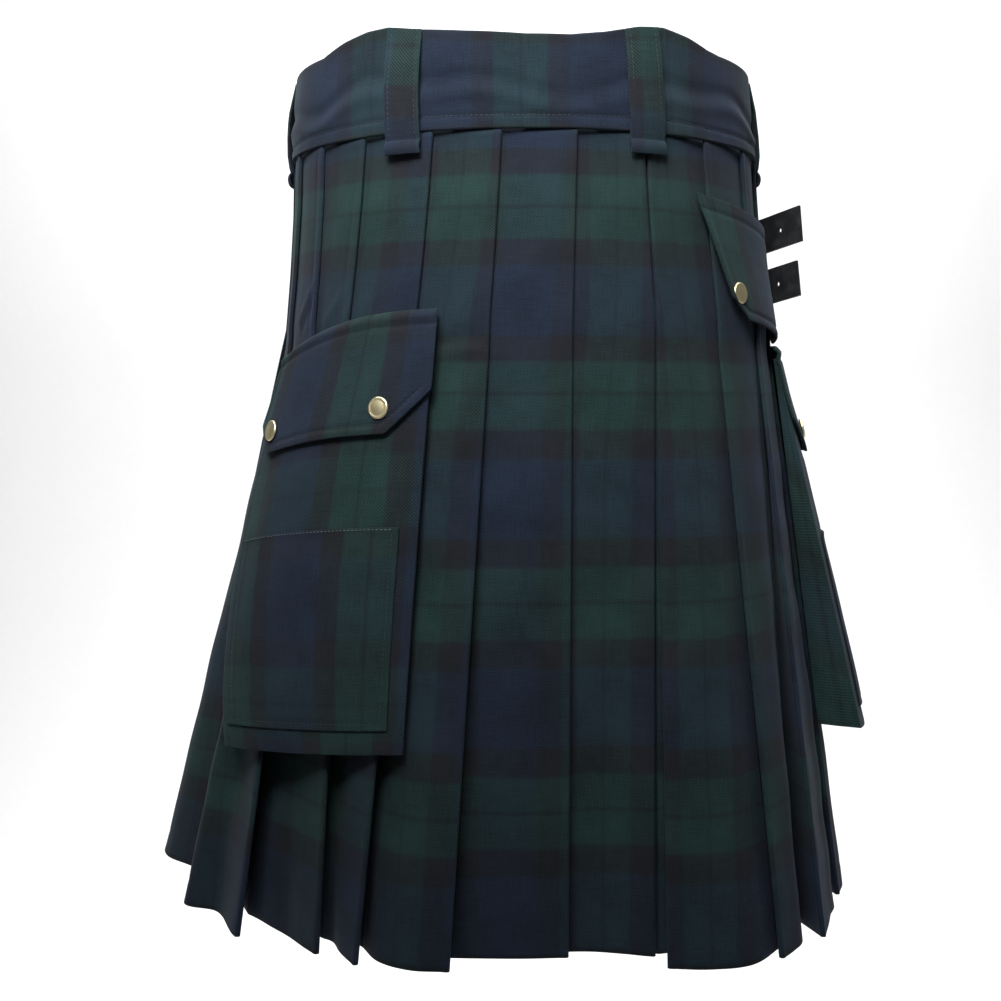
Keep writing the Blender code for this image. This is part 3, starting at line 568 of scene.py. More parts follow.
def make_tartan(name, cloth, colours, weft_share):
    """Woven tartan on the cloth coordinates.

    Each thread system reads its colour from its own place across the repeat. A diagonal
    twill decides which of the two shows, and weft_share is how much of the weft does.
    """
    n = Nodes(name)
    at = n.add("ShaderNodeUVMap", uv_map="cloth").outputs["UV"]
    split = n.add("ShaderNodeSeparateXYZ")
    n.link(at, split.inputs[0])
    u, v = split.outputs[0], split.outputs[1]

    def thread_colour(place, repeat, wobble):
        shifted = n.math("ADD", place, n.math("MULTIPLY", n.math("SUBTRACT", wobble, 0.5), 0.0012))
        turns = n.math("ADD", n.math("DIVIDE", shifted, repeat), 0.5)
        return n.ramp(n.math("FRACT", turns), sett_stops(cloth, colours))

    slow = n.noise(at, 260.0, 2.0)
    warp = thread_colour(u, cloth.warp_repeat, slow)
    weft = thread_colour(v, cloth.repeat, slow)
    twill = n.math("FRACT", n.math("DIVIDE", n.math("SUBTRACT", u, v), cloth.twill_pitch))
    rib = n.math("ABSOLUTE", n.math("SUBTRACT", n.math("MULTIPLY", twill, 2.0), 1.0))
    hairs = n.noise(at, 2600.0, 1.0)
    edge = n.math("ADD", rib, n.math("MULTIPLY", n.math("SUBTRACT", hairs, 0.5), 0.9))
    shows = n.math("LESS_THAN", edge, weft_share)
    even = n.math("ADD", n.math("MULTIPLY", shows, 0.5), 0.5 * weft_share)
    colour = n.mix(even, warp, weft)

    down_warp = n.noise(n.scaled(at, 1900.0, 60.0), 1.0, 1.0)
    over_weft = n.noise(n.scaled(at, 60.0, 1900.0), 1.0, 1.0)
    slubs = n.math("ADD", n.math("MULTIPLY", down_warp, 0.5), n.math("MULTIPLY", over_weft, 0.5))
    cloud = n.noise(at, 22.0, 3.0)
    shade = n.math("ADD", n.math("MULTIPLY", slubs, 0.6), n.math("MULTIPLY", cloud, 0.45))
    shade = n.math("ADD", shade, n.math("MULTIPLY", hairs, 1.0))
    shade = n.math("ADD", shade, n.math("MULTIPLY", rib, -0.30))
    shade = n.math("SUBTRACT", shade, 0.31)
    grey = n.ramp(shade, ((0.34, (0.28, 0.28, 0.28)), (0.72, (1.72, 1.72, 1.72))))
    colour = n.mix(1.0, colour, grey, "MULTIPLY")
    fibre = n.noise(at, 1500.0, 2.0, 0.7)
    lit = n.ramp(fibre, ((0.60, (0.0, 0.0, 0.0)), (0.78, (1.0, 1.0, 1.0))))
    colour = n.mix(n.math("MULTIPLY", lit, cloth.lint), colour, tuple(colours.lint))
    n.link(colour, n.shader.inputs["Base Color"])

    height = n.math("ADD", n.math("MULTIPLY", rib, 0.6), n.math("MULTIPLY", slubs, 0.8))
    normal = n.bump(height, 0.55, 0.00022)
    normal = n.bump(fibre, 0.20, 0.0004, normal)
    n.link(normal, n.shader.inputs["Normal"])
    n.shader.inputs["Roughness"].default_value = 0.93
    n.shader.inputs["Specular IOR Level"].default_value = 0.22
    n.shader.inputs["Sheen Weight"].default_value = 0.05
    n.shader.inputs["Sheen Roughness"].default_value = 0.45
    n.shader.inputs["Sheen Tint"].default_value = (0.55, 0.65, 0.85, 1.0)
    return n.material


def make_thread(name, colour):
    """Sewing thread, a little glossy, twisted along itself."""
    n = Nodes(name)
    at = n.add("ShaderNodeTexCoord").outputs["Object"]
    twist = n.noise(at, 1800.0, 1.0)
    shade = n.mix(twist, tuple(colour), tuple(c * 0.5 for c in colour))
    n.link(shade, n.shader.inputs["Base Color"])
    n.link(n.bump(twist, 0.4, 0.0002), n.shader.inputs["Normal"])
    n.shader.inputs["Roughness"].default_value = 0.6
    return n.material


def make_brass(name, colour, rough):
    """Satin metal with fine scratches and dull patches."""
    n = Nodes(name)
    at = n.add("ShaderNodeTexCoord").outputs["Object"]
    patches = n.noise(at, 260.0, 3.0)
    scratches = n.noise(n.scaled(at, 3200.0, 260.0, 900.0), 1.0, 2.0)
    dull = tuple(c * 0.62 for c in colour)
    shade = n.mix(n.math("MULTIPLY", patches, 0.5), tuple(colour), dull)
    n.link(shade, n.shader.inputs["Base Color"])
    gloss = n.math("ADD", rough, n.math("MULTIPLY", scratches, 0.18))
    n.link(gloss, n.shader.inputs["Roughness"])
    n.link(n.bump(scratches, 0.12, 0.0001), n.shader.inputs["Normal"])
    n.shader.inputs["Metallic"].default_value = 1.0
    return n.material


def make_leather(colours):
    """Black strap leather: fine pebbled grain, greyer where it is rubbed."""
    n = Nodes("strap_leather")
    at = n.add("ShaderNodeTexCoord").outputs["Object"]
    cells = n.add("ShaderNodeTexVoronoi")
    cells.inputs["Scale"].default_value = 900.0
    n.link(at, cells.inputs["Vector"])
    grain = cells.outputs["Distance"]
    worn = n.noise(at, 90.0, 3.0)
    rubbed = n.ramp(worn, ((0.45, tuple(colours.strap)), (0.8, (0.030, 0.031, 0.034))))
    shade = n.mix(n.math("MULTIPLY", grain, 0.35), rubbed, (0.004, 0.004, 0.005))
    n.link(shade, n.shader.inputs["Base Color"])
    n.link(n.math("ADD", 0.48, n.math("MULTIPLY", worn, 0.22)), n.shader.inputs["Roughness"])
    n.link(n.bump(grain, 0.25, 0.0003), n.shader.inputs["Normal"])
    return n.material


# Settings


def colour_setting(name, description, default):
    """A colour that a user may change."""
    return bpy.props.FloatVectorProperty(
        name=name, description=description, subtype="COLOR", size=3,
        default=default, min=0.0, max=1.0,
    )


def length_setting(name, description, default):
    """A length in metres that a user may change."""
    return bpy.props.FloatProperty(
        name=name, description=description, default=default, unit="LENGTH"
    )


def power_setting(name, description, default):
    """A light's power in watts that a user may change."""
    return bpy.props.FloatProperty(
        name=name, description=description, default=default, min=0.0, unit="POWER"
    )


class KiltColours(bpy.types.PropertyGroup):
    """Thread, metal and leather colours."""

    green: colour_setting("Green", "Green threads", (0.0080, 0.0232, 0.0212))
    blue: colour_setting("Blue", "Navy threads", (0.0072, 0.0130, 0.0260))
    dark: colour_setting("Dark", "Brown-black threads", (0.0078, 0.0090, 0.0118))
    line: colour_setting("Line", "Thin line in the green", (0.0058, 0.0105, 0.0105))
    lint: colour_setting("Lint", "Loose pale fibres", (0.060, 0.085, 0.105))
    thread: colour_setting("Sewing thread", "Topstitching", (0.010, 0.013, 0.022))
    # The pale thread colour is painted highlight: the patch's folded top edge catching the light,
    # laid on the stitch beads there
    painted_highlight_thread: colour_setting("Pale thread", "On the patch's top", (0.075, 0.115, 0.115))
    brass: colour_setting("Snap brass", "Pale brass of the snaps", (0.98, 0.86, 0.53))
    buckle: colour_setting("Buckle metal", "Antique brass of the buckles", (0.42, 0.37, 0.27))
    strap: colour_setting("Strap", "Black leather", (0.0075, 0.0080, 0.0100))


class KiltCloth(bpy.types.PropertyGroup):
    """The tartan's sett and the cloth's relief."""

    repeat: length_setting("Repeat", "One repeat of the tartan's weft", 0.137)
    warp_repeat: length_setting("Warp repeat", "One repeat of its warp", 0.106)
    green_width: length_setting("Green band", "Width of the green band", 0.0470)
    dark_width: length_setting("Dark band", "Width of each dark band", 0.0190)
    line_width: length_setting("Line", "Width of the thin line", 0.0022)
    band_softness: length_setting("Band softness", "Blur where two bands meet", 0.0030)
    twill_pitch: length_setting("Twill", "Distance between the twill's ribs", 0.0021)
    lint: bpy.props.FloatProperty(
        name="Lint", description="How much pale fibre shows",
        default=0.16, subtype="FACTOR", min=0.0, max=1.0,
    )
    unevenness: length_setting("Unevenness", "Height of the soft waves", 0.0011)


class KiltStage(bpy.types.PropertyGroup):
    """Lights and backdrop."""

    key_power: power_setting("Key", "Key light", 4.4)
    fill_power: power_setting("Fill", "Fill light", 1.6)
    paper_power: power_setting("Paper light", "Light on the backdrop", 110.0)
    air: bpy.props.FloatProperty(
        name="Air", description="Light from all round", default=0.10, min=0.0
    )


def colours():
    return bpy.context.scene.kilt_colours


def cloth():
    return bpy.context.scene.kilt_cloth


def finish(name):
    """The finishes by name, each made once."""
    made = bpy.data.materials.get(name)
    if made:
        return made
    if name == "pleat_tartan":
        return make_tartan(name, cloth(), colours(), 0.60)
    if name == "pocket_tartan":
        return make_tartan(name, cloth(), colours(), 0.30)
    if name == "band_tartan":
        return make_tartan(name, cloth(), colours(), 0.52)
    if name == "sewing_thread":
        return make_thread(name, colours().thread)
    # The pale thread is painted highlight on the patch's folded top, not a thread colour of its
    # own
    if name == "painted_highlight_thread":
        return make_thread(name, colours().painted_highlight_thread)
    if name == "snap_brass":
        return make_brass(name, colours().brass, 0.30)
    if name == "buckle_brass":
        return make_brass(name, colours().buckle, 0.34)
    return make_leather(colours())


# The pleats


def pleat_value(number, name):
    """One named value of a pleat's row."""
    return PLEATS[number][PLEAT_COLUMNS.index(name)]


def hem_point(number, name):
    """A place of the hem plan, or the place where a pleat meets an apron."""
    x, y = pleat_value(number, name + "_x"), pleat_value(number, name + "_y")
    if x is not None:
        return np.array([x, y])
    join = LEFT_JOIN if number == 0 else RIGHT_JOIN
    return apron_plan(join, LENGTH, -PLEAT_INSET - 2 * LAYER)


def neighbour(number):
    """The pleat whose face begins where this one's hidden layer ends, if there is one."""
    side = pleat_value(number, "side")
    inner = LAST_LEFT if side > 0 else LAST_LEFT + 1
    return None if number == inner else number + side


def fold_turn(number, drops):
    """The turn of a pleat's outer fold where it is sewn, from the band to its lower end."""
    seam, sewn = pleat_value(number, "seam"), pleat_value(number, "sewn")
    return np.interp(drops, (BAND_HEIGHT, SEWN_TO), (seam, sewn))


def end_turn(number, drops):
    """The turn of the face's hidden end, under the fold of the pleat before it."""
    if number == 0:
        return np.full(len(drops), LEFT_JOIN)
    if number == len(PLEATS) - 1:
        return np.full(len(drops), RIGHT_JOIN)
    return fold_turn(number - pleat_value(number, "side"), drops)


def sewn_lines(number, drops):
    """A pleat lying flat in three layers, at each drop: 12 places in plan."""
    side = pleat_value(number, "side")
    fold, end = fold_turn(number, drops), end_turn(number, drops)
    hidden = fold + SEWN_DEPTH * (end - fold)
    last = fold if neighbour(number) is not None else np.full(len(drops), CENTRE_BACK)
    ahead = np.degrees(LAYER / 2 / section(drops)[0]) * side
    turns = np.stack(
        [
            end, end + (fold - end) / 3, end + (fold - end) * 2 / 3, fold,
            fold + ahead, fold, (fold + hidden) / 2, hidden,
            hidden - ahead, hidden, (hidden + last) / 2, last,
        ],
        axis=1,
    )
    depth = np.array([0.0, 0.0, 0.0, 0.0, 0.5, 1.0, 1.0, 1.0, 1.5, 2.0, 2.0, 2.0])
    slope = np.clip((turns - fold[:, None]) / (end - fold)[:, None], 0.0, 1.0) * 2 * LAYER
    return plan(turns, drops[:, None], -PLEAT_INSET - slope - depth * LAYER)


def across(run, towards):
    """The unit normal of a run that points the same way as towards."""
    normal = np.array([run[1], -run[0]])
    return normal if normal @ towards > 0 else -normal


def hem_line(number):
    """A pleat hanging open at the hem, in the same order as sewn_lines."""
    end, fold = hem_point(number, "end"), hem_point(number, "fold")
    face = [end, hem_point(number, "near_end"), hem_point(number, "near_fold"), fold]
    beside = neighbour(number)
    last = np.array(CENTRE_PANEL_HEM) if beside is None else hem_point(beside, "end")
    hidden = last + pleat_value(number, "depth") * (end - last)
    hidden = hidden - unit(hidden) * INNER_FOLD_INSET
    run = unit(fold - face[2])
    inwards = across(run, hidden - fold)
    tip = fold + (run + inwards) * HEM_FOLD
    turned = fold + 2 * inwards * HEM_FOLD
    back = unit(hidden - turned)
    under = across(back, last - hidden)
    inner_tip = hidden + (back + under) * HEM_FOLD
    inner_turned = hidden + 2 * under * HEM_FOLD
    line = face + [tip, turned, (turned + hidden) / 2, hidden, inner_tip, inner_turned]
    return np.array(line + [(inner_turned + last) / 2, last])


FACE_STEPS, FOLD_STEPS, RETURN_STEPS, UNDER_STEPS = 30, 6, 9, 7


def dense_line(control):
    """Twelve control places made a smooth line.

    The face is a cubic Hermite curve through its four places, each fold is half a turn
    c + a cos t + b sin t, and the hidden layers are straight.
    """
    face = control[:, :4]
    first, last = face[:, 1:2] - face[:, :1], face[:, 3:] - face[:, 2:3]
    slope = np.concatenate([first, (face[:, 2:] - face[:, :-2]) / 2, last], axis=1)
    t = np.linspace(0.0, 3.0, FACE_STEPS, endpoint=False)
    k = np.minimum(t.astype(int), 2)
    s = (t - k)[None, :, None]
    start, stop = face[:, k], face[:, k + 1]
    curve = (
        (2 * s**3 - 3 * s**2 + 1) * start
        + (s**3 - 2 * s**2 + s) * slope[:, k]
        + (3 * s**2 - 2 * s**3) * stop
        + (s**3 - s**2) * slope[:, k + 1]
    )

    def half_turn(first, steps):
        middle = (control[:, first] + control[:, first + 2]) / 2
        a, b = control[:, first] - middle, control[:, first + 1] - middle
        angle = np.linspace(0.0, math.pi, steps, endpoint=False)[None, :, None]
        return middle[:, None] + a[:, None] * np.cos(angle) + b[:, None] * np.sin(angle)

    def straight(first, last, steps, whole=False):
        share = np.linspace(0.0, 1.0, steps, endpoint=whole)[None, :, None]
        return control[:, first, None] * (1 - share) + control[:, last, None] * share

    return np.concatenate(
        [
            curve,
            half_turn(3, FOLD_STEPS),
            straight(5, 7, RETURN_STEPS),
            half_turn(7, FOLD_STEPS),
            straight(9, 11, UNDER_STEPS, True),
        ],
        axis=1,
    )


FOLD_COLUMN = FACE_STEPS

# Creases on the pleats: distance from the fold into the face, and drop
PLEAT_CREASES = {
    3: (
        (0.004, 0.196, 0.026, 0.200, 0.0040, 0.0012),
        (0.002, 0.190, 0.018, 0.193, 0.0030, -0.0008),
    ),
    4: (
        (0.000, 0.197, 0.030, 0.200, 0.0034, -0.0016),
        (0.002, 0.205, 0.032, 0.208, 0.0040, 0.0015),
        (0.006, 0.225, 0.022, 0.300, 0.0090, 0.0008),
    ),
    1: (
        (0.004, 0.160, 0.022, 0.182, 0.0035, 0.0013),
        (0.000, 0.166, 0.016, 0.186, 0.0028, -0.0010),
    ),
    2: ((0.006, 0.166, 0.024, 0.184, 0.0035, 0.0012),),
    7: ((0.012, 0.190, 0.016, 0.260, 0.0060, 0.0006),),
}


def pleat_grid(number, drops):
    """Points of a pleat and its cloth coordinates, row by row down the skirt."""
    side = pleat_value(number, "side")
    t = np.clip((drops - SEWN_TO) / (LENGTH - SEWN_TO), 0.0, 1.0)
    ease = 0.06
    opened = np.where(t < ease, t * t / (2 * ease), t - ease / 2) / (1 - ease / 2)
    opened = opened[:, None, None]
    control = sewn_lines(number, np.minimum(drops, SEWN_TO)) * (1 - opened)
    line = dense_line(control + hem_line(number)[None] * opened)
    z = np.broadcast_to((TOP_Z - drops)[:, None, None], (*line.shape[:2], 1))
    points = np.concatenate([line, z], axis=-1)
    length = run_length(points)
    from_fold = length[:, FOLD_COLUMN : FOLD_COLUMN + 1] - length
    normal = grid_normals(points) * side
    face = smooth(from_fold, -0.001, 0.006)
    down = drops[:, None]
    free = smooth(down, SEWN_TO - 0.02, SEWN_TO + 0.12)
    rough = cloth().unevenness
    width = length[:, FOLD_COLUMN : FOLD_COLUMN + 1]
    relief = waves(from_fold, down, 11 + number, 0.011) * rough * (0.35 + 0.65 * free)
    relief = relief + waves(from_fold, down * 0.25, 71 + number, 0.008) * rough * 0.6 * free
    belly = np.sin(np.pi * np.clip(from_fold / width, 0.0, 1.0))
    relief = relief + 0.0007 * belly * free * (1.0 + np.sin(down * 9.0 + number))
    relief = relief + creases(PLEAT_CREASES.get(number, ()), from_fold, down)
    sewn = 1.0 - smooth(down, SEWN_TO - 0.004, SEWN_TO + 0.012)
    relief = relief - 0.0005 * sewn * np.exp(-(((from_fold - 0.0055) / 0.0016) ** 2))
    hem_edge = np.exp(-(((down - (LENGTH - 0.018)) / 0.0016) ** 2))
    relief = relief - 0.0004 * hem_edge
    relief = relief * face * smooth(width - from_fold, -0.001, 0.006)
    edge = smooth(down, BAND_HEIGHT, BAND_HEIGHT + 0.006)
    points = points + normal * (relief * edge)[..., None]
    taper = SEWN_TAPER * (1.0 - smooth(down, BAND_HEIGHT, 0.30))
    place = from_fold - FOLD_TO_LINE[number] + taper
    u = place * -side
    v = np.broadcast_to(weft_place(drops)[:, None], u.shape)
    return points, np.stack([u, v], axis=-1)


class KILT_OT_pleats(bpy.types.Operator):
    """Hang the fourteen pleats, sewn flat above and open below"""

    bl_idname = "kilt.pleats"
    bl_label = "Pleats"

    def execute(self, context):
        drops = np.linspace(BAND_HEIGHT, LENGTH, 132)
        for number in range(len(PLEATS)):
            points, weave = pleat_grid(number, drops)
            name = f"pleat_{number + 1:02d}"
            side = pleat_value(number, "side")
            piece = add_grid(
                f"{name}_cloth", points, weave, finish("pleat_tartan"),
                PLEAT_CLOTH, side < 0, 0.0,
            )
            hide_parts(name)
            cut_sheet(points)
        return {"FINISHED"}


# Aprons


def apron_grid(first, last, lift, across_count, seed, shift):
    """An apron: flat round the front, with soft long waves that grow towards the hem."""
    turns, drops = np.meshgrid(
        np.linspace(first, last, across_count), np.linspace(BAND_HEIGHT, LENGTH, 120)
    )
    base = on_figure(turns, drops, lift, apron_plan)
    length = run_length(base)
    free = smooth(drops, 0.14, 0.45)
    edge = smooth(length, 0.0, 0.02) * smooth(length[:, -1:] - length, 0.0, 0.02)
    rough = cloth().unevenness
    relief = waves(length, drops, seed, 0.016) * rough * 0.6
    relief = relief + waves(length, drops * 0.2, seed + 5, 0.022) * 0.0022 * free
    relief = relief * edge * smooth(drops, BAND_HEIGHT, BAND_HEIGHT + 0.006)
    points = on_figure(turns, drops, lift + relief, apron_plan)
    spread = 0.72 + 0.28 * smooth(drops, 0.0, LENGTH)
    weave = np.stack([length[-1:] * spread + shift, weft_place(drops)], axis=-1)
    return points, weave


class KILT_OT_aprons(bpy.types.Operator):
    """Lay the under apron and the over apron round the front"""

    bl_idname = "kilt.aprons"
    bl_label = "Aprons"

    def execute(self, context):
        over = -PLEAT_INSET + PLEAT_CLOTH / 2 - APRON_CLOTH / 2
        under = -PLEAT_INSET - 2 * LAYER - 2 * CLEAR
        places = (
            ("over_apron", OVER_FREE_EDGE, OVER_SEWN_EDGE, over, 31, 0.02),
            ("under_apron", RIGHT_JOIN, UNDER_FREE_EDGE, under, 37, 0.05),
        )
        for name, first, last, lift, seed, shift in places:
            points, weave = apron_grid(first, last, lift, 150, seed, shift)
            piece = add_grid(
                f"{name}_cloth", points, weave, finish("pleat_tartan"),
                APRON_CLOTH, False, 0.0004,
            )
            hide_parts(name)
            cut_sheet(points)
        return {"FINISHED"}


# Waistband and loops


BAND_STITCH = 0.0525
BAND_LINE_TURN = -1.2


def band_lift(turns):
    """The band's middle off the figure, going in under its overlap at the right front."""
    dip = np.clip((turns - DIP_FROM) / (DIP_TO - DIP_FROM), 0.0, 1.0)
    return -BAND_WALL / 2 - dip * (BAND_WALL + BAND_OVERLAP_GAP)


def band_relief(turns, drops):
    """The band's trough and ridge, its stitched groove, and long soft waves."""
    round_length = np.radians(turns) * 0.155
    angle = np.radians(turns)
    wander = 0.004 * np.sin(angle * 5.0 + 0.6) + 0.003 * np.sin(angle * 11.0)
    trough = np.exp(-(((drops - 0.0315 - wander) / 0.0050) ** 2))
    ridge = np.exp(-(((drops - 0.0425 - wander) / 0.0048) ** 2))
    groove = np.exp(-(((drops - BAND_STITCH) / 0.0013) ** 2))
    depth = 0.6 + 0.4 * waves(round_length, drops * 0.3, 5, 0.020)
    pucker = np.sin(round_length / 0.0030) * np.exp(-(((drops - BAND_STITCH) / 0.0045) ** 2))
    relief = (0.0019 * ridge - 0.0021 * trough) * depth - 0.00085 * groove
    relief = relief + 0.00013 * pucker + waves(round_length, drops, 9, 0.012) * 0.0005
    return relief * smooth(drops, 0.0, 0.004) * smooth(BAND_HEIGHT - drops, 0.0, 0.0015)


def band_surface(turns, drops, out=0.0):
    """The band's outer face: its middle, half its wall, and the relief."""
    lift = band_lift(turns) + BAND_WALL / 2 + band_relief(turns, drops) + out
    return on_figure(turns, risen(turns, drops), lift)


class KILT_OT_waistband(bpy.types.Operator):
    """Wrap the waistband round, folded over at its top"""

    bl_idname = "kilt.waistband"
    bl_label = "Waistband"

    def execute(self, context):
        turns = np.linspace(OVER_FREE_EDGE, UNDER_FREE_EDGE, 620)
        face = np.linspace(BAND_HEIGHT, BAND_WALL / 2, 44)
        half_turn = np.linspace(0.0, math.pi, 9)[1:-1]
        back = np.linspace(BAND_WALL / 2, BAND_HEIGHT, 8)
        drops = np.concatenate([face, BAND_WALL / 2 * (1 - np.sin(half_turn)), back])
        out = np.concatenate([np.ones(len(face)), np.cos(half_turn), -np.ones(len(back))])
        front = np.concatenate([np.ones(len(face)), np.cos(half_turn / 2), np.zeros(len(back))])
        cloth_down = np.concatenate([face, -BAND_WALL / 2 * half_turn, -back - 0.005])
        turns, drops_grid = np.meshgrid(turns, drops)
        lift = band_lift(turns) + BAND_WALL / 2 * out[:, None]
        lift = lift + band_relief(turns, drops_grid) * front[:, None]
        points = on_figure(turns, risen(turns, drops_grid), lift)
        points = np.concatenate([points, points[:1]])
        middle = np.linalg.norm(np.diff(points[0], axis=0), axis=1)
        along = np.concatenate([[0.0], np.cumsum(middle)])
        cloth_down = np.concatenate([cloth_down, cloth_down[:1]])
        line = np.interp(BAND_LINE_TURN, turns[0], along)
        u = np.broadcast_to(along - line, points.shape[:2])
        v = np.broadcast_to((cloth_down + 0.036)[:, None], points.shape[:2])
        weave = np.stack([u, v], axis=-1)
        piece = add_grid(
            "waistband_cloth", points, weave, finish("band_tartan"), 0.0, True
        )
        made = bmesh.new()
        made.from_mesh(piece.data)
        bmesh.ops.remove_doubles(made, verts=made.verts, dist=1e-6)
        bmesh.ops.holes_fill(made, edges=[e for e in made.edges if e.is_boundary], sides=0)
        made.to_mesh(piece.data)
        made.free()
        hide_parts("waistband")
        return {"FINISHED"}


def loop_half(middle):
    """Half a loop's width as a turn."""
    return math.degrees(LOOP_WIDTH / 2 / np.linalg.norm(plan(middle, BAND_HEIGHT / 2, 0.0)))


def loop_middle(drops):
    """The loop's middle surface off the figure, smoothed through its side view."""
    table = column(LOOP_PROFILE, LOOP_COLUMNS, "drop")
    inner = np.interp(drops, table, column(LOOP_PROFILE, LOOP_COLUMNS, "inner"))
    outer = np.interp(drops, table, column(LOOP_PROFILE, LOOP_COLUMNS, "outer"))
    return (inner + outer) / 2


class KILT_OT_belt_loops(bpy.types.Operator):
    """Sew the five belt loops over the waistband"""

    bl_idname = "kilt.belt_loops"
    bl_label = "Belt Loops"

    def execute(self, context):
        for number, middle in enumerate(LOOP_TURNS, start=1):
            half = loop_half(middle)
            share = np.linspace(-1.0, 1.0, 17)
            strip, bar_tack = np.linspace(0.0005, 0.0665, 46), np.linspace(0.0672, 0.0755, 16)
            drops = np.concatenate([strip, bar_tack])
            shares, drop_grid = np.meshgrid(share, drops)
            turns = middle + half * shares
            lift = loop_middle(drop_grid)
            bar = np.sin(np.pi * np.clip((drop_grid - 0.0672) / 0.0083, 0.0, 1.0))
            lift = lift + 0.0011 * bar
            lift = lift - 0.0007 * np.exp(-(((drop_grid - 0.0662) / 0.0012) ** 2))
            sewn = np.exp(-(((np.abs(shares) - LOOP_STITCH_SHARE) / 0.07) ** 2))
            lift = lift - 0.0004 * sewn * (1.0 - bar)
            lift = lift + waves(shares * 0.011, drop_grid, 90 + number, 0.009) * 0.0003
            lift = lift - 0.0005 * shares**4
            points = on_figure(turns, risen(turns, drop_grid), lift)
            u = shares * LOOP_WIDTH / 2 + 0.055 + 0.012 * number
            v = drop_grid + 0.118 + 0.004 * number
            piece = add_grid(
                f"belt_loop_{number}_cloth", points, np.stack([u, v], axis=-1),
                finish("band_tartan"), LOOP_CLOTH, False, 0.0005,
            )
            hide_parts(f"belt_loop_{number}")
            wide = float(run_length(points)[0, -1])
        return {"FINISHED"}


# Pockets and flaps


def pocket_surface(pocket, across_at, down, lift, seated=0.0):
    """Points of a cargo pocket: across from its near edge, down from its top, lifted."""
    value = dict(zip(POCKET_COLUMNS, pocket))
    share, fall = across_at / POCKET_WIDTH, down / POCKET_HEIGHT
    near = value["near_top"] + (value["near_bottom"] - value["near_top"]) * fall
    far = value["far_top"] * (1.0 - fall) * (1.0 - 2.0 * fall)
    far = far + value["far_middle"] * 4.0 * fall * (1.0 - fall)
    far = far + value["far_bottom"] * fall * (2.0 * fall - 1.0)
    longer = 1.0 + value["longer"] * (1.0 - 2.0 * share)
    drop = value["drop_near"] + (value["drop_far"] - value["drop_near"]) * share + down * longer
    drop = drop - POCKET_BOW * np.sin(np.pi * np.clip(share, 0.0, 1.0)) * (1.0 - fall)
    seat = value["seat_near"] + (value["seat_far"] - value["seat_near"]) * share
    off_bottom = value["off_bottom"] + (seat - value["off_bottom"]) * seated
    off = value["off_top"] + (off_bottom - value["off_top"]) * np.clip(fall, 0, 1)
    return on_figure(near + (far - near) * share, drop, off + lift)


def hip_surface(across_at, down, lift):
    """Points of the hip flap, whose height changes a little from end to end."""
    share = across_at / HIP_WIDTH
    top = HIP_TOP_NEAR + (HIP_TOP_FAR - HIP_TOP_NEAR) * share
    bottom = HIP_BOTTOM_NEAR + (HIP_BOTTOM_FAR - HIP_BOTTOM_NEAR) * share
    fall = down / (FLAP_BOTTOM + FLAP_ABOVE)
    near = HIP_NEAR_TOP + (HIP_NEAR_BOTTOM - HIP_NEAR_TOP) * fall
    turn = near + (HIP_FAR - near) * share
    return on_figure(turn, top + (bottom - top) * fall, lift)


BAG_CREASES = (
    (0.020, 0.080, 0.024, 0.125, 0.0060, 0.0009),
    (0.060, 0.100, 0.095, 0.118, 0.0090, -0.0007),
    (0.110, 0.085, 0.125, 0.240, 0.0100, 0.0010),
)
# Where the tartan's warp and weft start on each pocket
POCKET_WARP = {"left": -0.038, "right": -0.100}
POCKET_WEFT = {"left": 0.030, "right": 0.010}


def bag_relief(across_at, down, seed):
    """A little belly, its worn creases and fine waves, none at its edges."""
    share, fall = across_at / POCKET_WIDTH, down / POCKET_HEIGHT
    edge = smooth(share, 0.0, 0.10) * smooth(1.0 - share, 0.0, 0.10)
    edge = edge * smooth(1.0 - fall, 0.0, 0.08)
    relief = 0.0018 * np.sin(np.pi * share) * np.sin(np.pi * np.clip(fall, 0.0, 1.0))
    relief = relief + creases(BAG_CREASES, across_at, down) * 0.8
    return (relief + waves(across_at, down, seed, 0.012) * SOFT_WAVE) * edge


def pocket_weave(side, across_at, down, extra=0.0):
    """Cloth coordinates on a pocket piece, moved across by extra."""
    u = -(across_at + POCKET_WARP[side])
    return np.stack([u + extra, POCKET_WEFT[side] + down], axis=-1)


def make_bag(pocket):
    """The bag's front with its sides and bottom folded back to the pleats."""
    name = pocket[0]
    over, below = 72, 120
    columns = np.arange(over + 4) - 2
    rows = np.arange(below + 3)
    row, place = np.meshgrid(rows, columns, indexing="ij")
    at_side = (place < 0) | (place > over - 1)
    under = row > below - 1
    steps_back = np.clip(np.maximum(np.maximum(-place, place - over + 1), row - below + 1), 0, 2)
    seated = (at_side | under) * steps_back / 2.0
    across_at = POCKET_WIDTH * np.clip(place / (over - 1), 0.0, 1.0)
    down = POCKET_HEIGHT * np.clip(row / (below - 1), 0.0, 1.0)
    relief = bag_relief(across_at, down, BAG_SEED)
    lift = np.where(seated > 0.0, (BAG_WALL - 0.0008) * (1.0 - seated), BAG_WALL - 0.0008 + relief)
    points = pocket_surface(pocket, across_at, down, lift, seated)
    weave = pocket_weave(name, across_at, down)
    weave = weave + (steps_back * 0.008)[..., None]
    return add_grid(
        f"pocket_{name}_bag_cloth", points, weave, finish("pocket_tartan"),
        BAG_CLOTH, name == "right", 0.0004,
    )


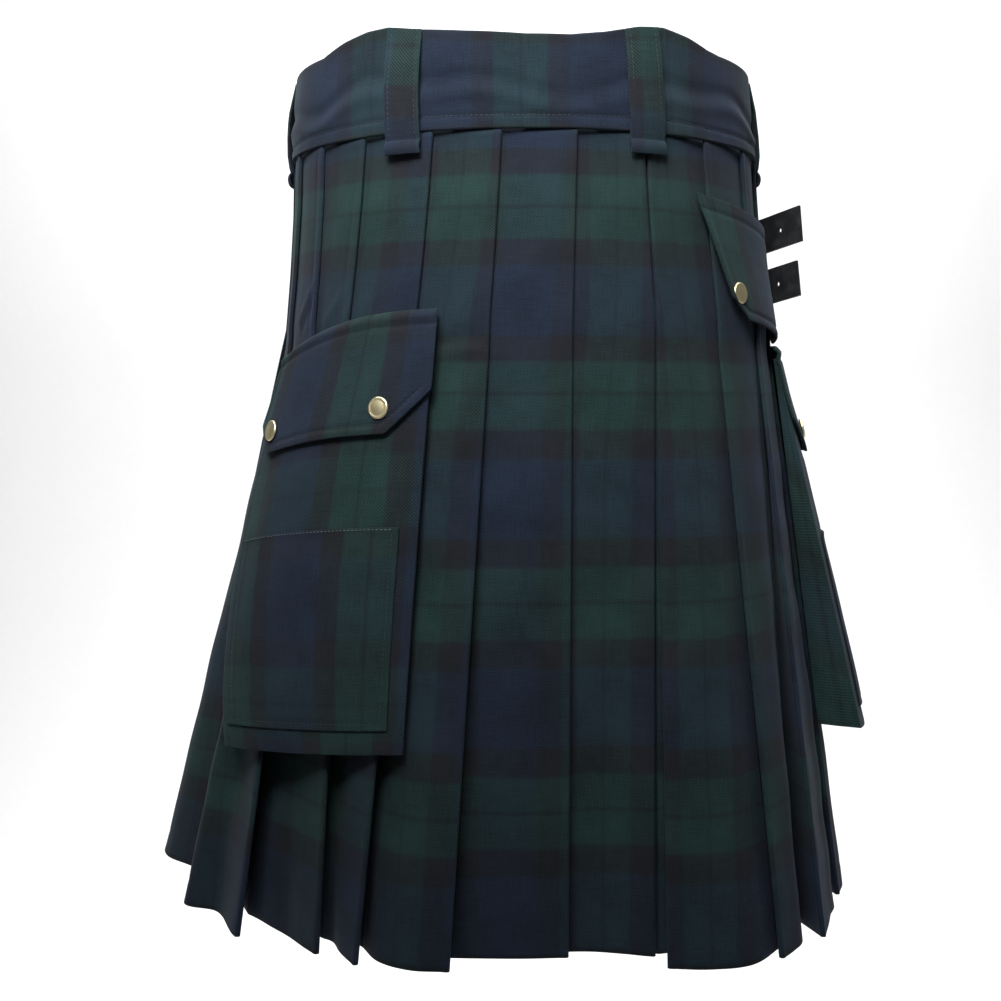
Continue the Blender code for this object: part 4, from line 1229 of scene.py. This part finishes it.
def make_patch(pocket):
    """The patch on the bag: a turned edge, stitched a few millimetres in."""
    name = pocket[0]
    across_at, down = np.meshgrid(
        np.linspace(PATCH_MARGINS[0], POCKET_WIDTH - PATCH_MARGINS[1], 64),
        np.linspace(PATCH_TOP, PATCH_BOTTOM, 60),
    )
    base = bag_relief(across_at, down, BAG_SEED)
    from_edge = np.minimum(
        np.minimum(across_at - PATCH_MARGINS[0], POCKET_WIDTH - PATCH_MARGINS[1] - across_at),
        PATCH_BOTTOM - down,
    )
    groove = np.exp(-(((from_edge - PATCH_STITCH) / 0.0013) ** 2)) * 0.0005
    top_fold = np.exp(-(((down - PATCH_TOP) / 0.003) ** 2)) * 0.0006
    relief = base - groove + top_fold + waves(across_at, down, PATCH_SEED, 0.010) * PATCH_WAVE
    lift = BAG_WALL + CLEAR + PATCH_WALL / 2 + relief
    points = pocket_surface(pocket, across_at, down, lift)
    weave = pocket_weave(name, across_at, down, -0.012)
    return add_grid(
        f"pocket_{name}_patch_cloth", points, weave, finish("pocket_tartan"),
        PATCH_WALL, name == "right", 0.0004,
    )


def flap_grid(width, cut, top, side, bottom, overhang, over=66, below=56):
    """Across and down for a flap with its lower corners cut off: rows fan to the edge."""
    low, high = -overhang, width + overhang
    across_line = np.linspace(low, high, over)
    from_side = np.minimum(across_line - low, high - across_line)
    lower = side + (bottom - side) * np.clip(from_side / cut, 0.0, 1.0)
    share = np.linspace(0.0, 1.0, below)[:, None]
    down = top + (lower[None, :] - top) * share
    across_at = np.broadcast_to(across_line, down.shape)
    slope = (bottom - side) / cut
    from_cut = (side + (across_at - low) * slope - down) / math.hypot(slope, 1.0)
    from_other = (side + (high - across_at) * slope - down) / math.hypot(slope, 1.0)
    inside = np.minimum(np.minimum(across_at - low, high - across_at), bottom - down)
    return across_at, down, np.minimum(inside, np.minimum(from_cut, from_other))


def flap_relief(across_at, down, inside, seed, lower_lift):
    """Stitched groove 6 mm in, a soft roll outside it, and a lower edge that stands off."""
    groove = np.exp(-(((inside - FLAP_STITCH) / 0.0014) ** 2)) * 0.0008
    roll = np.exp(-(((inside - 0.0030) / 0.0020) ** 2)) * 0.0004
    off = lower_lift * smooth(down, 0.02, 0.075)
    return roll - groove + off + waves(across_at, down, seed, 0.013) * SOFT_WAVE


def make_flap(pocket):
    """The flap: its seam rolled at the top, stitched round, its lower edge standing off."""
    name = pocket[0]
    across_at, down, inside = flap_grid(
        POCKET_WIDTH, FLAP_CORNER, -FLAP_ABOVE, FLAP_SIDE, FLAP_BOTTOM, FLAP_OVERHANG
    )
    rise = np.clip((down + FLAP_ABOVE) / FLAP_STEP, 0.0, 1.0)
    top_roll = 0.0009 * np.exp(-(((down + FLAP_ABOVE - 0.003) / 0.0030) ** 2))
    top_seam = -0.0008 * np.exp(-(((down + FLAP_ABOVE - 0.0095) / 0.0016) ** 2))
    relief = flap_relief(across_at, down, inside, FLAP_SEED, FLAP_STANDS_OFF)
    lift = (BAG_WALL + CLEAR) * rise + FLAP_WALL / 2 + relief
    points = pocket_surface(pocket, across_at, down, lift + top_roll + top_seam)
    weave = pocket_weave(name, across_at, down, 0.0125)
    return add_grid(
        f"pocket_{name}_flap_cloth", points, weave, finish("pocket_tartan"),
        FLAP_WALL, name == "right", 0.0005,
    )


class KILT_OT_pockets(bpy.types.Operator):
    """Hang both cargo pockets: bag, patch and flap"""

    bl_idname = "kilt.pockets"
    bl_label = "Cargo Pockets"

    def execute(self, context):
        for pocket in POCKETS:
            name = pocket[0]
            bag, patch, flap = make_bag(pocket), make_patch(pocket), make_flap(pocket)
            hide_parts(f"pocket_{name}_bag")
            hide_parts(f"pocket_{name}_patch")
            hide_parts(f"pocket_{name}_flap")
        return {"FINISHED"}


class KILT_OT_hip_flap(bpy.types.Operator):
    """Lay the snapped flap on the sewn pleats at the right hip"""

    bl_idname = "kilt.hip_flap"
    bl_label = "Hip Flap"

    def execute(self, context):
        tall = FLAP_BOTTOM + FLAP_ABOVE
        side = tall - HIP_CUT_RISE
        across_at, down, inside = flap_grid(HIP_WIDTH, HIP_CUT, 0.0, side, tall, 0.0)
        relief = flap_relief(across_at, down, inside, HIP_SEED, HIP_STANDS_OFF)
        lift = CLEAR + FLAP_WALL / 2 + relief
        near_lift = 0.0018 * np.exp(-((across_at / 0.010) ** 2)) * smooth(down, 0.0, 0.03)
        top_seam = -0.0006 * np.exp(-(((down - 0.0095) / 0.0016) ** 2))
        points = hip_surface(across_at, down, lift + near_lift + top_seam)
        weave = np.stack([across_at - 0.012, down - 0.0335], axis=-1)
        piece = add_grid(
            "hip_flap_cloth", points, weave, finish("pocket_tartan"),
            FLAP_WALL, True, 0.0005,
        )
        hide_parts("hip_flap")
        return {"FINISHED"}


# Snaps, straps, buckles


# A snap's cap from its seat over its rolled rim to its middle: radius and height shares
SNAP_COLUMNS = ("radius", "height")
SNAP_PROFILE = (
    (0.55, 0.02), (0.94, 0.02), (1.0, 0.16), (1.0, 0.46), (0.965, 0.72), (0.90, 0.86),
    (0.82, 0.84), (0.76, 0.78), (0.60, 0.86), (0.40, 0.95), (0.18, 0.99), (0.03, 1.0),
)


def snap_rings(surface, across_at, down, lift):
    """The cap's profile turned round the surface's normal at a place."""
    middle = surface(np.array(across_at), np.array(down), lift)
    to_side = surface(np.array(across_at + SURFACE_REACH), np.array(down), lift) - middle
    to_below = surface(np.array(across_at), np.array(down + SURFACE_REACH), lift) - middle
    outward = unit(np.cross(to_side, to_below))
    if outward @ np.array([middle[0], middle[1], 0.0]) < 0:
        outward = -outward
    first = unit(to_side)
    second = np.cross(outward, first)
    angle = np.arange(48) * 2.0 * math.pi / 48
    radius = column(SNAP_PROFILE, SNAP_COLUMNS, "radius")[:, None, None] * CAP_RADIUS
    height = column(SNAP_PROFILE, SNAP_COLUMNS, "height")[:, None, None] * CAP_HEIGHT
    ring = np.cos(angle)[:, None] * first + np.sin(angle)[:, None] * second
    return middle + radius * ring + height * outward


def snap_places():
    """Each snap's surface, place across and down, and how far it is lifted."""
    on_flap = FLAP_WALL + 2 * CLEAR
    near, far = CAP_FROM_NEAR - FLAP_OVERHANG, POCKET_WIDTH + FLAP_OVERHANG - CAP_FROM_FAR
    for pocket in POCKETS:
        surface = partial(pocket_surface, pocket)
        for place in (near, far):
            off = BAG_WALL + on_flap + CAP_STANDS_OFF * 0.75
            yield surface, place, FLAP_BOTTOM - CAP_FROM_BOTTOM, off
    down = FLAP_BOTTOM + FLAP_ABOVE - CAP_FROM_BOTTOM
    for place in (HIP_CAP_FROM_SIDE, HIP_WIDTH - HIP_CAP_FROM_SIDE):
        yield hip_surface, place, down, on_flap + CAP_STANDS_OFF * 0.7


class KILT_OT_snaps(bpy.types.Operator):
    """Set the six snap caps"""

    bl_idname = "kilt.snaps"
    bl_label = "Snaps"

    def execute(self, context):
        for number, (surface, across_at, down, lift) in enumerate(snap_places(), start=1):
            rings = snap_rings(surface, across_at, down, lift)
            name = f"snap_{number}_cap"
            piece = add_piece(name, closed_mesh(name, rings), finish("snap_brass"))
            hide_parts(f"snap_{number}")
        return {"FINISHED"}


class Buckle:
    """Places by a buckle: along towards the strap's free end, out from the hip, and up."""

    def __init__(self, drop):
        self.drop = drop
        ahead, behind = plan(BUCKLE_TURN - 1.0, drop, 0.0), plan(BUCKLE_TURN + 1.0, drop, 0.0)
        self.along = unit(ahead - behind)
        self.out = across(self.along, plan(BUCKLE_TURN, drop, 0.0))

    def place(self, s, n, up=0.0):
        flat = plan(BUCKLE_TURN, self.drop - up, 0.0) + self.along * s + self.out * n
        return np.array([*flat, TOP_Z - self.drop + up])


class KILT_OT_closure(bpy.types.Operator):
    """Finish the leather straps and tabs, and make the buckles and prongs"""

    bl_idname = "kilt.closure"
    bl_label = "Straps and Buckles"

    def execute(self, context):
        half_long, half_tall = BUCKLE_LONG / 2, BUCKLE_TALL / 2
        for name, drop in STRAPS:
            buckle = Buckle(drop)
            path = []
            corners = ((1, 1, 0.0), (-1, 1, 90.0), (-1, -1, 180.0), (1, -1, 270.0))
            for s_side, up_side, start in corners:
                for angle in np.radians(start + np.linspace(0.0, 90.0, 9)):
                    s = s_side * (half_long - BUCKLE_ROUND) + BUCKLE_ROUND * math.cos(angle)
                    up = up_side * (half_tall - BUCKLE_ROUND) + BUCKLE_ROUND * math.sin(angle)
                    path.append(buckle.place(s, BUCKLE_OFF, up))
            rings = tube_rings(path, BAR_RADIUS, 16, closed=True)
            mesh = closed_mesh(f"buckle_{name}_frame", rings, closed_ends=False)
            piece = add_piece(f"buckle_{name}_frame", mesh, finish("buckle_brass"))
            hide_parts(f"buckle_{name}")

            back = np.array([row[0] for row in PRONG_LINE])
            off = np.array([row[1] for row in PRONG_LINE])
            run = np.linspace(0.0, 1.0, 30)
            spread = np.linspace(0.0, 1.0, len(back))
            line = [
                buckle.place(half_long - b, PRONG_REST + o)
                for b, o in zip(np.interp(run, spread, back), np.interp(run, spread, off))
            ]
            radius = PRONG_RADIUS * (1.0 - 0.35 * run)
            mesh = closed_mesh(f"prong_{name}_pin", tube_rings(line, radius, 12))
            piece = add_piece(f"prong_{name}_pin", mesh, finish("buckle_brass"))
            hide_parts(f"prong_{name}")
            for node in (f"strap_{name}", f"tab_{name}"):
                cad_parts[node].data.materials.clear()
                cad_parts[node].data.materials.append(finish("strap_leather"))
        return {"FINISHED"}


# Stitching


def run_on(surface, across_at, down, lift):
    """Points of a line on a surface with the directions that point out of it there."""
    at = surface(across_at, down, lift)
    out = surface(across_at, down, lift + 0.001) - at
    return at, unit(out)


def between(corners):
    """Sixty places across and down along each straight run between two corners."""
    share = np.linspace(0.0, 1.0, 60)
    for (a0, d0), (a1, d1) in zip(corners, corners[1:]):
        yield a0 + (a1 - a0) * share, d0 + (d1 - d0) * share


class KILT_OT_stitching(bpy.types.Operator):
    """Topstitch the waistband, loops, pockets and flaps"""

    bl_idname = "kilt.stitching"
    bl_label = "Stitching"

    def execute(self, context):
        thread = finish("sewing_thread")
        turns = np.linspace(OVER_FREE_EDGE + 1.0, UNDER_FREE_EDGE - 1.0, 900)
        drops = np.full_like(turns, BAND_STITCH)
        at = band_surface(turns, drops, 0.0001)
        out = band_surface(turns, drops, 0.0011) - at
        stitches("waistband_stitching", [(at, unit(out))], thread)

        runs = []
        for middle in LOOP_TURNS:
            half = loop_half(middle)
            drops = np.linspace(0.004, 0.064, 40)
            for share in (-LOOP_STITCH_SHARE, LOOP_STITCH_SHARE):
                turn = np.full_like(drops, middle + half * share)
                lift = loop_middle(drops) + 0.0009 - 0.00055
                at = on_figure(turn, risen(turn, drops), lift)
                out = on_figure(turn, risen(turn, drops), lift + 0.001) - at
                runs.append((at, unit(out)))
        stitches("belt_loop_stitching", runs, thread)

        runs, patch_top_highlight_runs = [], []
        low, high = -FLAP_OVERHANG, POCKET_WIDTH + FLAP_OVERHANG
        slope = (FLAP_BOTTOM - FLAP_SIDE) / FLAP_CORNER
        shift = FLAP_STITCH * math.hypot(slope, 1.0)
        side_end = FLAP_SIDE + FLAP_STITCH * slope - shift
        cut_end = low + FLAP_CORNER + (shift - FLAP_STITCH) / slope
        flap_line = (
            (low + FLAP_STITCH, -FLAP_ABOVE + 0.012),
            (low + FLAP_STITCH, side_end),
            (cut_end, FLAP_BOTTOM - FLAP_STITCH),
            (POCKET_WIDTH - cut_end, FLAP_BOTTOM - FLAP_STITCH),
            (high - FLAP_STITCH, side_end),
            (high - FLAP_STITCH, -FLAP_ABOVE + 0.012),
        )
        left = PATCH_MARGINS[0] + PATCH_STITCH
        right = POCKET_WIDTH - PATCH_MARGINS[1] - PATCH_STITCH
        patch_line = (
            (left, PATCH_TOP),
            (left, PATCH_BOTTOM - PATCH_STITCH),
            (right, PATCH_BOTTOM - PATCH_STITCH),
            (right, PATCH_TOP),
        )
        for pocket in POCKETS:
            surface = partial(pocket_surface, pocket)
            for across_at, down in between(flap_line):
                away = FLAP_STANDS_OFF * smooth(down, 0.02, 0.075)
                away = away + waves(across_at, down, FLAP_SEED, 0.013) * SOFT_WAVE
                lift = BAG_WALL + CLEAR + FLAP_WALL - 0.0007 + away
                runs.append(run_on(surface, across_at, down, lift))
            for across_at, down in between(patch_line):
                away = bag_relief(across_at, down, BAG_SEED)
                away = away + waves(across_at, down, PATCH_SEED, 0.010) * PATCH_WAVE
                lift = BAG_WALL + CLEAR + PATCH_WALL - 0.0004 + away
                runs.append(run_on(surface, across_at, down, lift))
            # Stitch beads along the patch's folded top, in pale thread that paints the fold's
            # highlight
            across_at = np.linspace(left, right, 80)
            down = np.full_like(across_at, PATCH_TOP + 0.0012)
            relief = bag_relief(across_at, down, BAG_SEED)
            lift = BAG_WALL + CLEAR + PATCH_WALL + 0.0004 + relief
            patch_top_highlight_runs.append(run_on(surface, across_at, down, lift))
        stitches("pocket_stitching", runs, thread)
        stitches("patch_top_highlight_stitching", patch_top_highlight_runs, finish("painted_highlight_thread"), pitch=0.0030)
        return {"FINISHED"}


# Stage


CAMERA_PLACE = (-0.0166, -0.957, TOP_Z - 0.23978)
CAMERA_PITCH = 85.4
CAMERA_LENS = 44.16
FLOOR_DROP = 1.30


class KILT_OT_stage(bpy.types.Operator):
    """Set the pale sweep, the soft lights and the camera"""

    bl_idname = "kilt.stage"
    bl_label = "Stage"

    def execute(self, context):
        scene = context.scene
        setting = scene.kilt_stage
        width = np.linspace(-5.0, 5.0, 3)
        angle = np.linspace(0.0, math.pi / 2, 24)
        y = np.concatenate([[-4.0], 1.6 + 1.2 * np.sin(angle), [2.8]])
        z = np.concatenate([[0.0], 1.2 * (1.0 - np.cos(angle)), [4.0]]) + TOP_Z - FLOOR_DROP
        x, y = np.meshgrid(width, y)
        z = np.broadcast_to(z[:, None], x.shape)
        n = Nodes("pale_paper")
        at = n.add("ShaderNodeTexCoord").outputs["Object"]
        tooth = n.noise(at, 60.0, 3.0)
        n.link(n.mix(tooth, (0.90, 0.90, 0.90), (0.93, 0.93, 0.93)), n.shader.inputs["Base Color"])
        n.shader.inputs["Roughness"].default_value = 1.0
        mesh = bpy.data.meshes.new("pale_sweep")
        points = np.stack([x, y, z], axis=-1)
        quads = grid_quads(points, True)
        mesh.from_pydata(points.reshape(-1, 3).tolist(), [], quads.tolist())
        mesh.shade_smooth()
        mesh.materials.append(n.material)
        sweep = bpy.data.objects.new("pale_sweep", mesh)
        scene.collection.objects.link(sweep)

        world = bpy.data.worlds.new("soft_air")
        world.use_nodes = True
        world.node_tree.nodes["Background"].inputs[0].default_value = (1.0, 1.0, 1.0, 1.0)
        world.node_tree.nodes["Background"].inputs[1].default_value = setting.air
        scene.world = world

        key, fill, paper = setting.key_power, setting.fill_power, setting.paper_power
        lights = (
            ("key_light", (-0.20, -0.76, 0.63), (0.0, 0.0, 0.0), 0.55, 66.0, key),
            ("fill_light", (1.10, -1.40, 0.75), (0.0, 0.0, -0.10), 0.9, 180.0, fill),
            ("paper_light", (0.0, 0.75, 1.70), (0.0, 2.60, -0.20), 2.4, 180.0, paper),
        )
        for name, place, aim, size, spread, power in lights:
            lamp = bpy.data.lights.new(name, "AREA")
            lamp.size = size
            lamp.spread = math.radians(spread)
            lamp.energy = power
            holder = bpy.data.objects.new(name, lamp)
            scene.collection.objects.link(holder)
            holder.location = place
            towards = np.array(aim) - np.array(place)
            flat = math.hypot(towards[0], towards[1])
            tilt, swing = math.atan2(flat, -towards[2]), math.atan2(-towards[0], towards[1])
            holder.rotation_euler = (tilt, 0.0, swing)

        lens = bpy.data.cameras.new("camera")
        lens.lens = CAMERA_LENS
        lens.sensor_width = 36.0
        lens.clip_start = 0.01
        camera = bpy.data.objects.new("camera", lens)
        scene.collection.objects.link(camera)
        camera.location = CAMERA_PLACE
        camera.rotation_euler = (math.radians(CAMERA_PITCH), 0.0, 0.0)
        scene.camera = camera
        scene.view_settings.view_transform = "Standard"
        return {"FINISHED"}


class KILT_PT_panel(bpy.types.Panel):
    """Kilt pieces and settings"""

    bl_label = "Utility Kilt"
    bl_idname = "KILT_PT_panel"
    bl_space_type = "VIEW_3D"
    bl_region_type = "UI"
    bl_category = "Kilt"

    def draw(self, context):
        layout = self.layout
        scene = context.scene
        for group in (scene.kilt_colours, scene.kilt_cloth, scene.kilt_stage):
            for name in group.__annotations__:
                layout.prop(group, name)
        for operator in OPERATORS:
            layout.operator(operator.bl_idname)


OPERATORS = (
    KILT_OT_stage,
    KILT_OT_pleats,
    KILT_OT_aprons,
    KILT_OT_waistband,
    KILT_OT_belt_loops,
    KILT_OT_pockets,
    KILT_OT_hip_flap,
    KILT_OT_snaps,
    KILT_OT_closure,
    KILT_OT_stitching,
)
GROUPS = (KiltColours, KiltCloth, KiltStage)


def register():
    for kind in (*GROUPS, *OPERATORS, KILT_PT_panel):
        bpy.utils.register_class(kind)
    bpy.types.Scene.kilt_colours = bpy.props.PointerProperty(type=KiltColours)
    bpy.types.Scene.kilt_cloth = bpy.props.PointerProperty(type=KiltCloth)
    bpy.types.Scene.kilt_stage = bpy.props.PointerProperty(type=KiltStage)


def unregister():
    del bpy.types.Scene.kilt_stage
    del bpy.types.Scene.kilt_cloth
    del bpy.types.Scene.kilt_colours
    for kind in reversed((*GROUPS, *OPERATORS, KILT_PT_panel)):
        bpy.utils.unregister_class(kind)


def main():
    register()
    bpy.ops.kilt.stage()
    bpy.ops.kilt.pleats()
    bpy.ops.kilt.aprons()
    bpy.ops.kilt.waistband()
    bpy.ops.kilt.belt_loops()
    bpy.ops.kilt.pockets()
    bpy.ops.kilt.hip_flap()
    bpy.ops.kilt.snaps()
    bpy.ops.kilt.closure()
    bpy.ops.kilt.stitching()


if __name__ == "__main__":
    main()
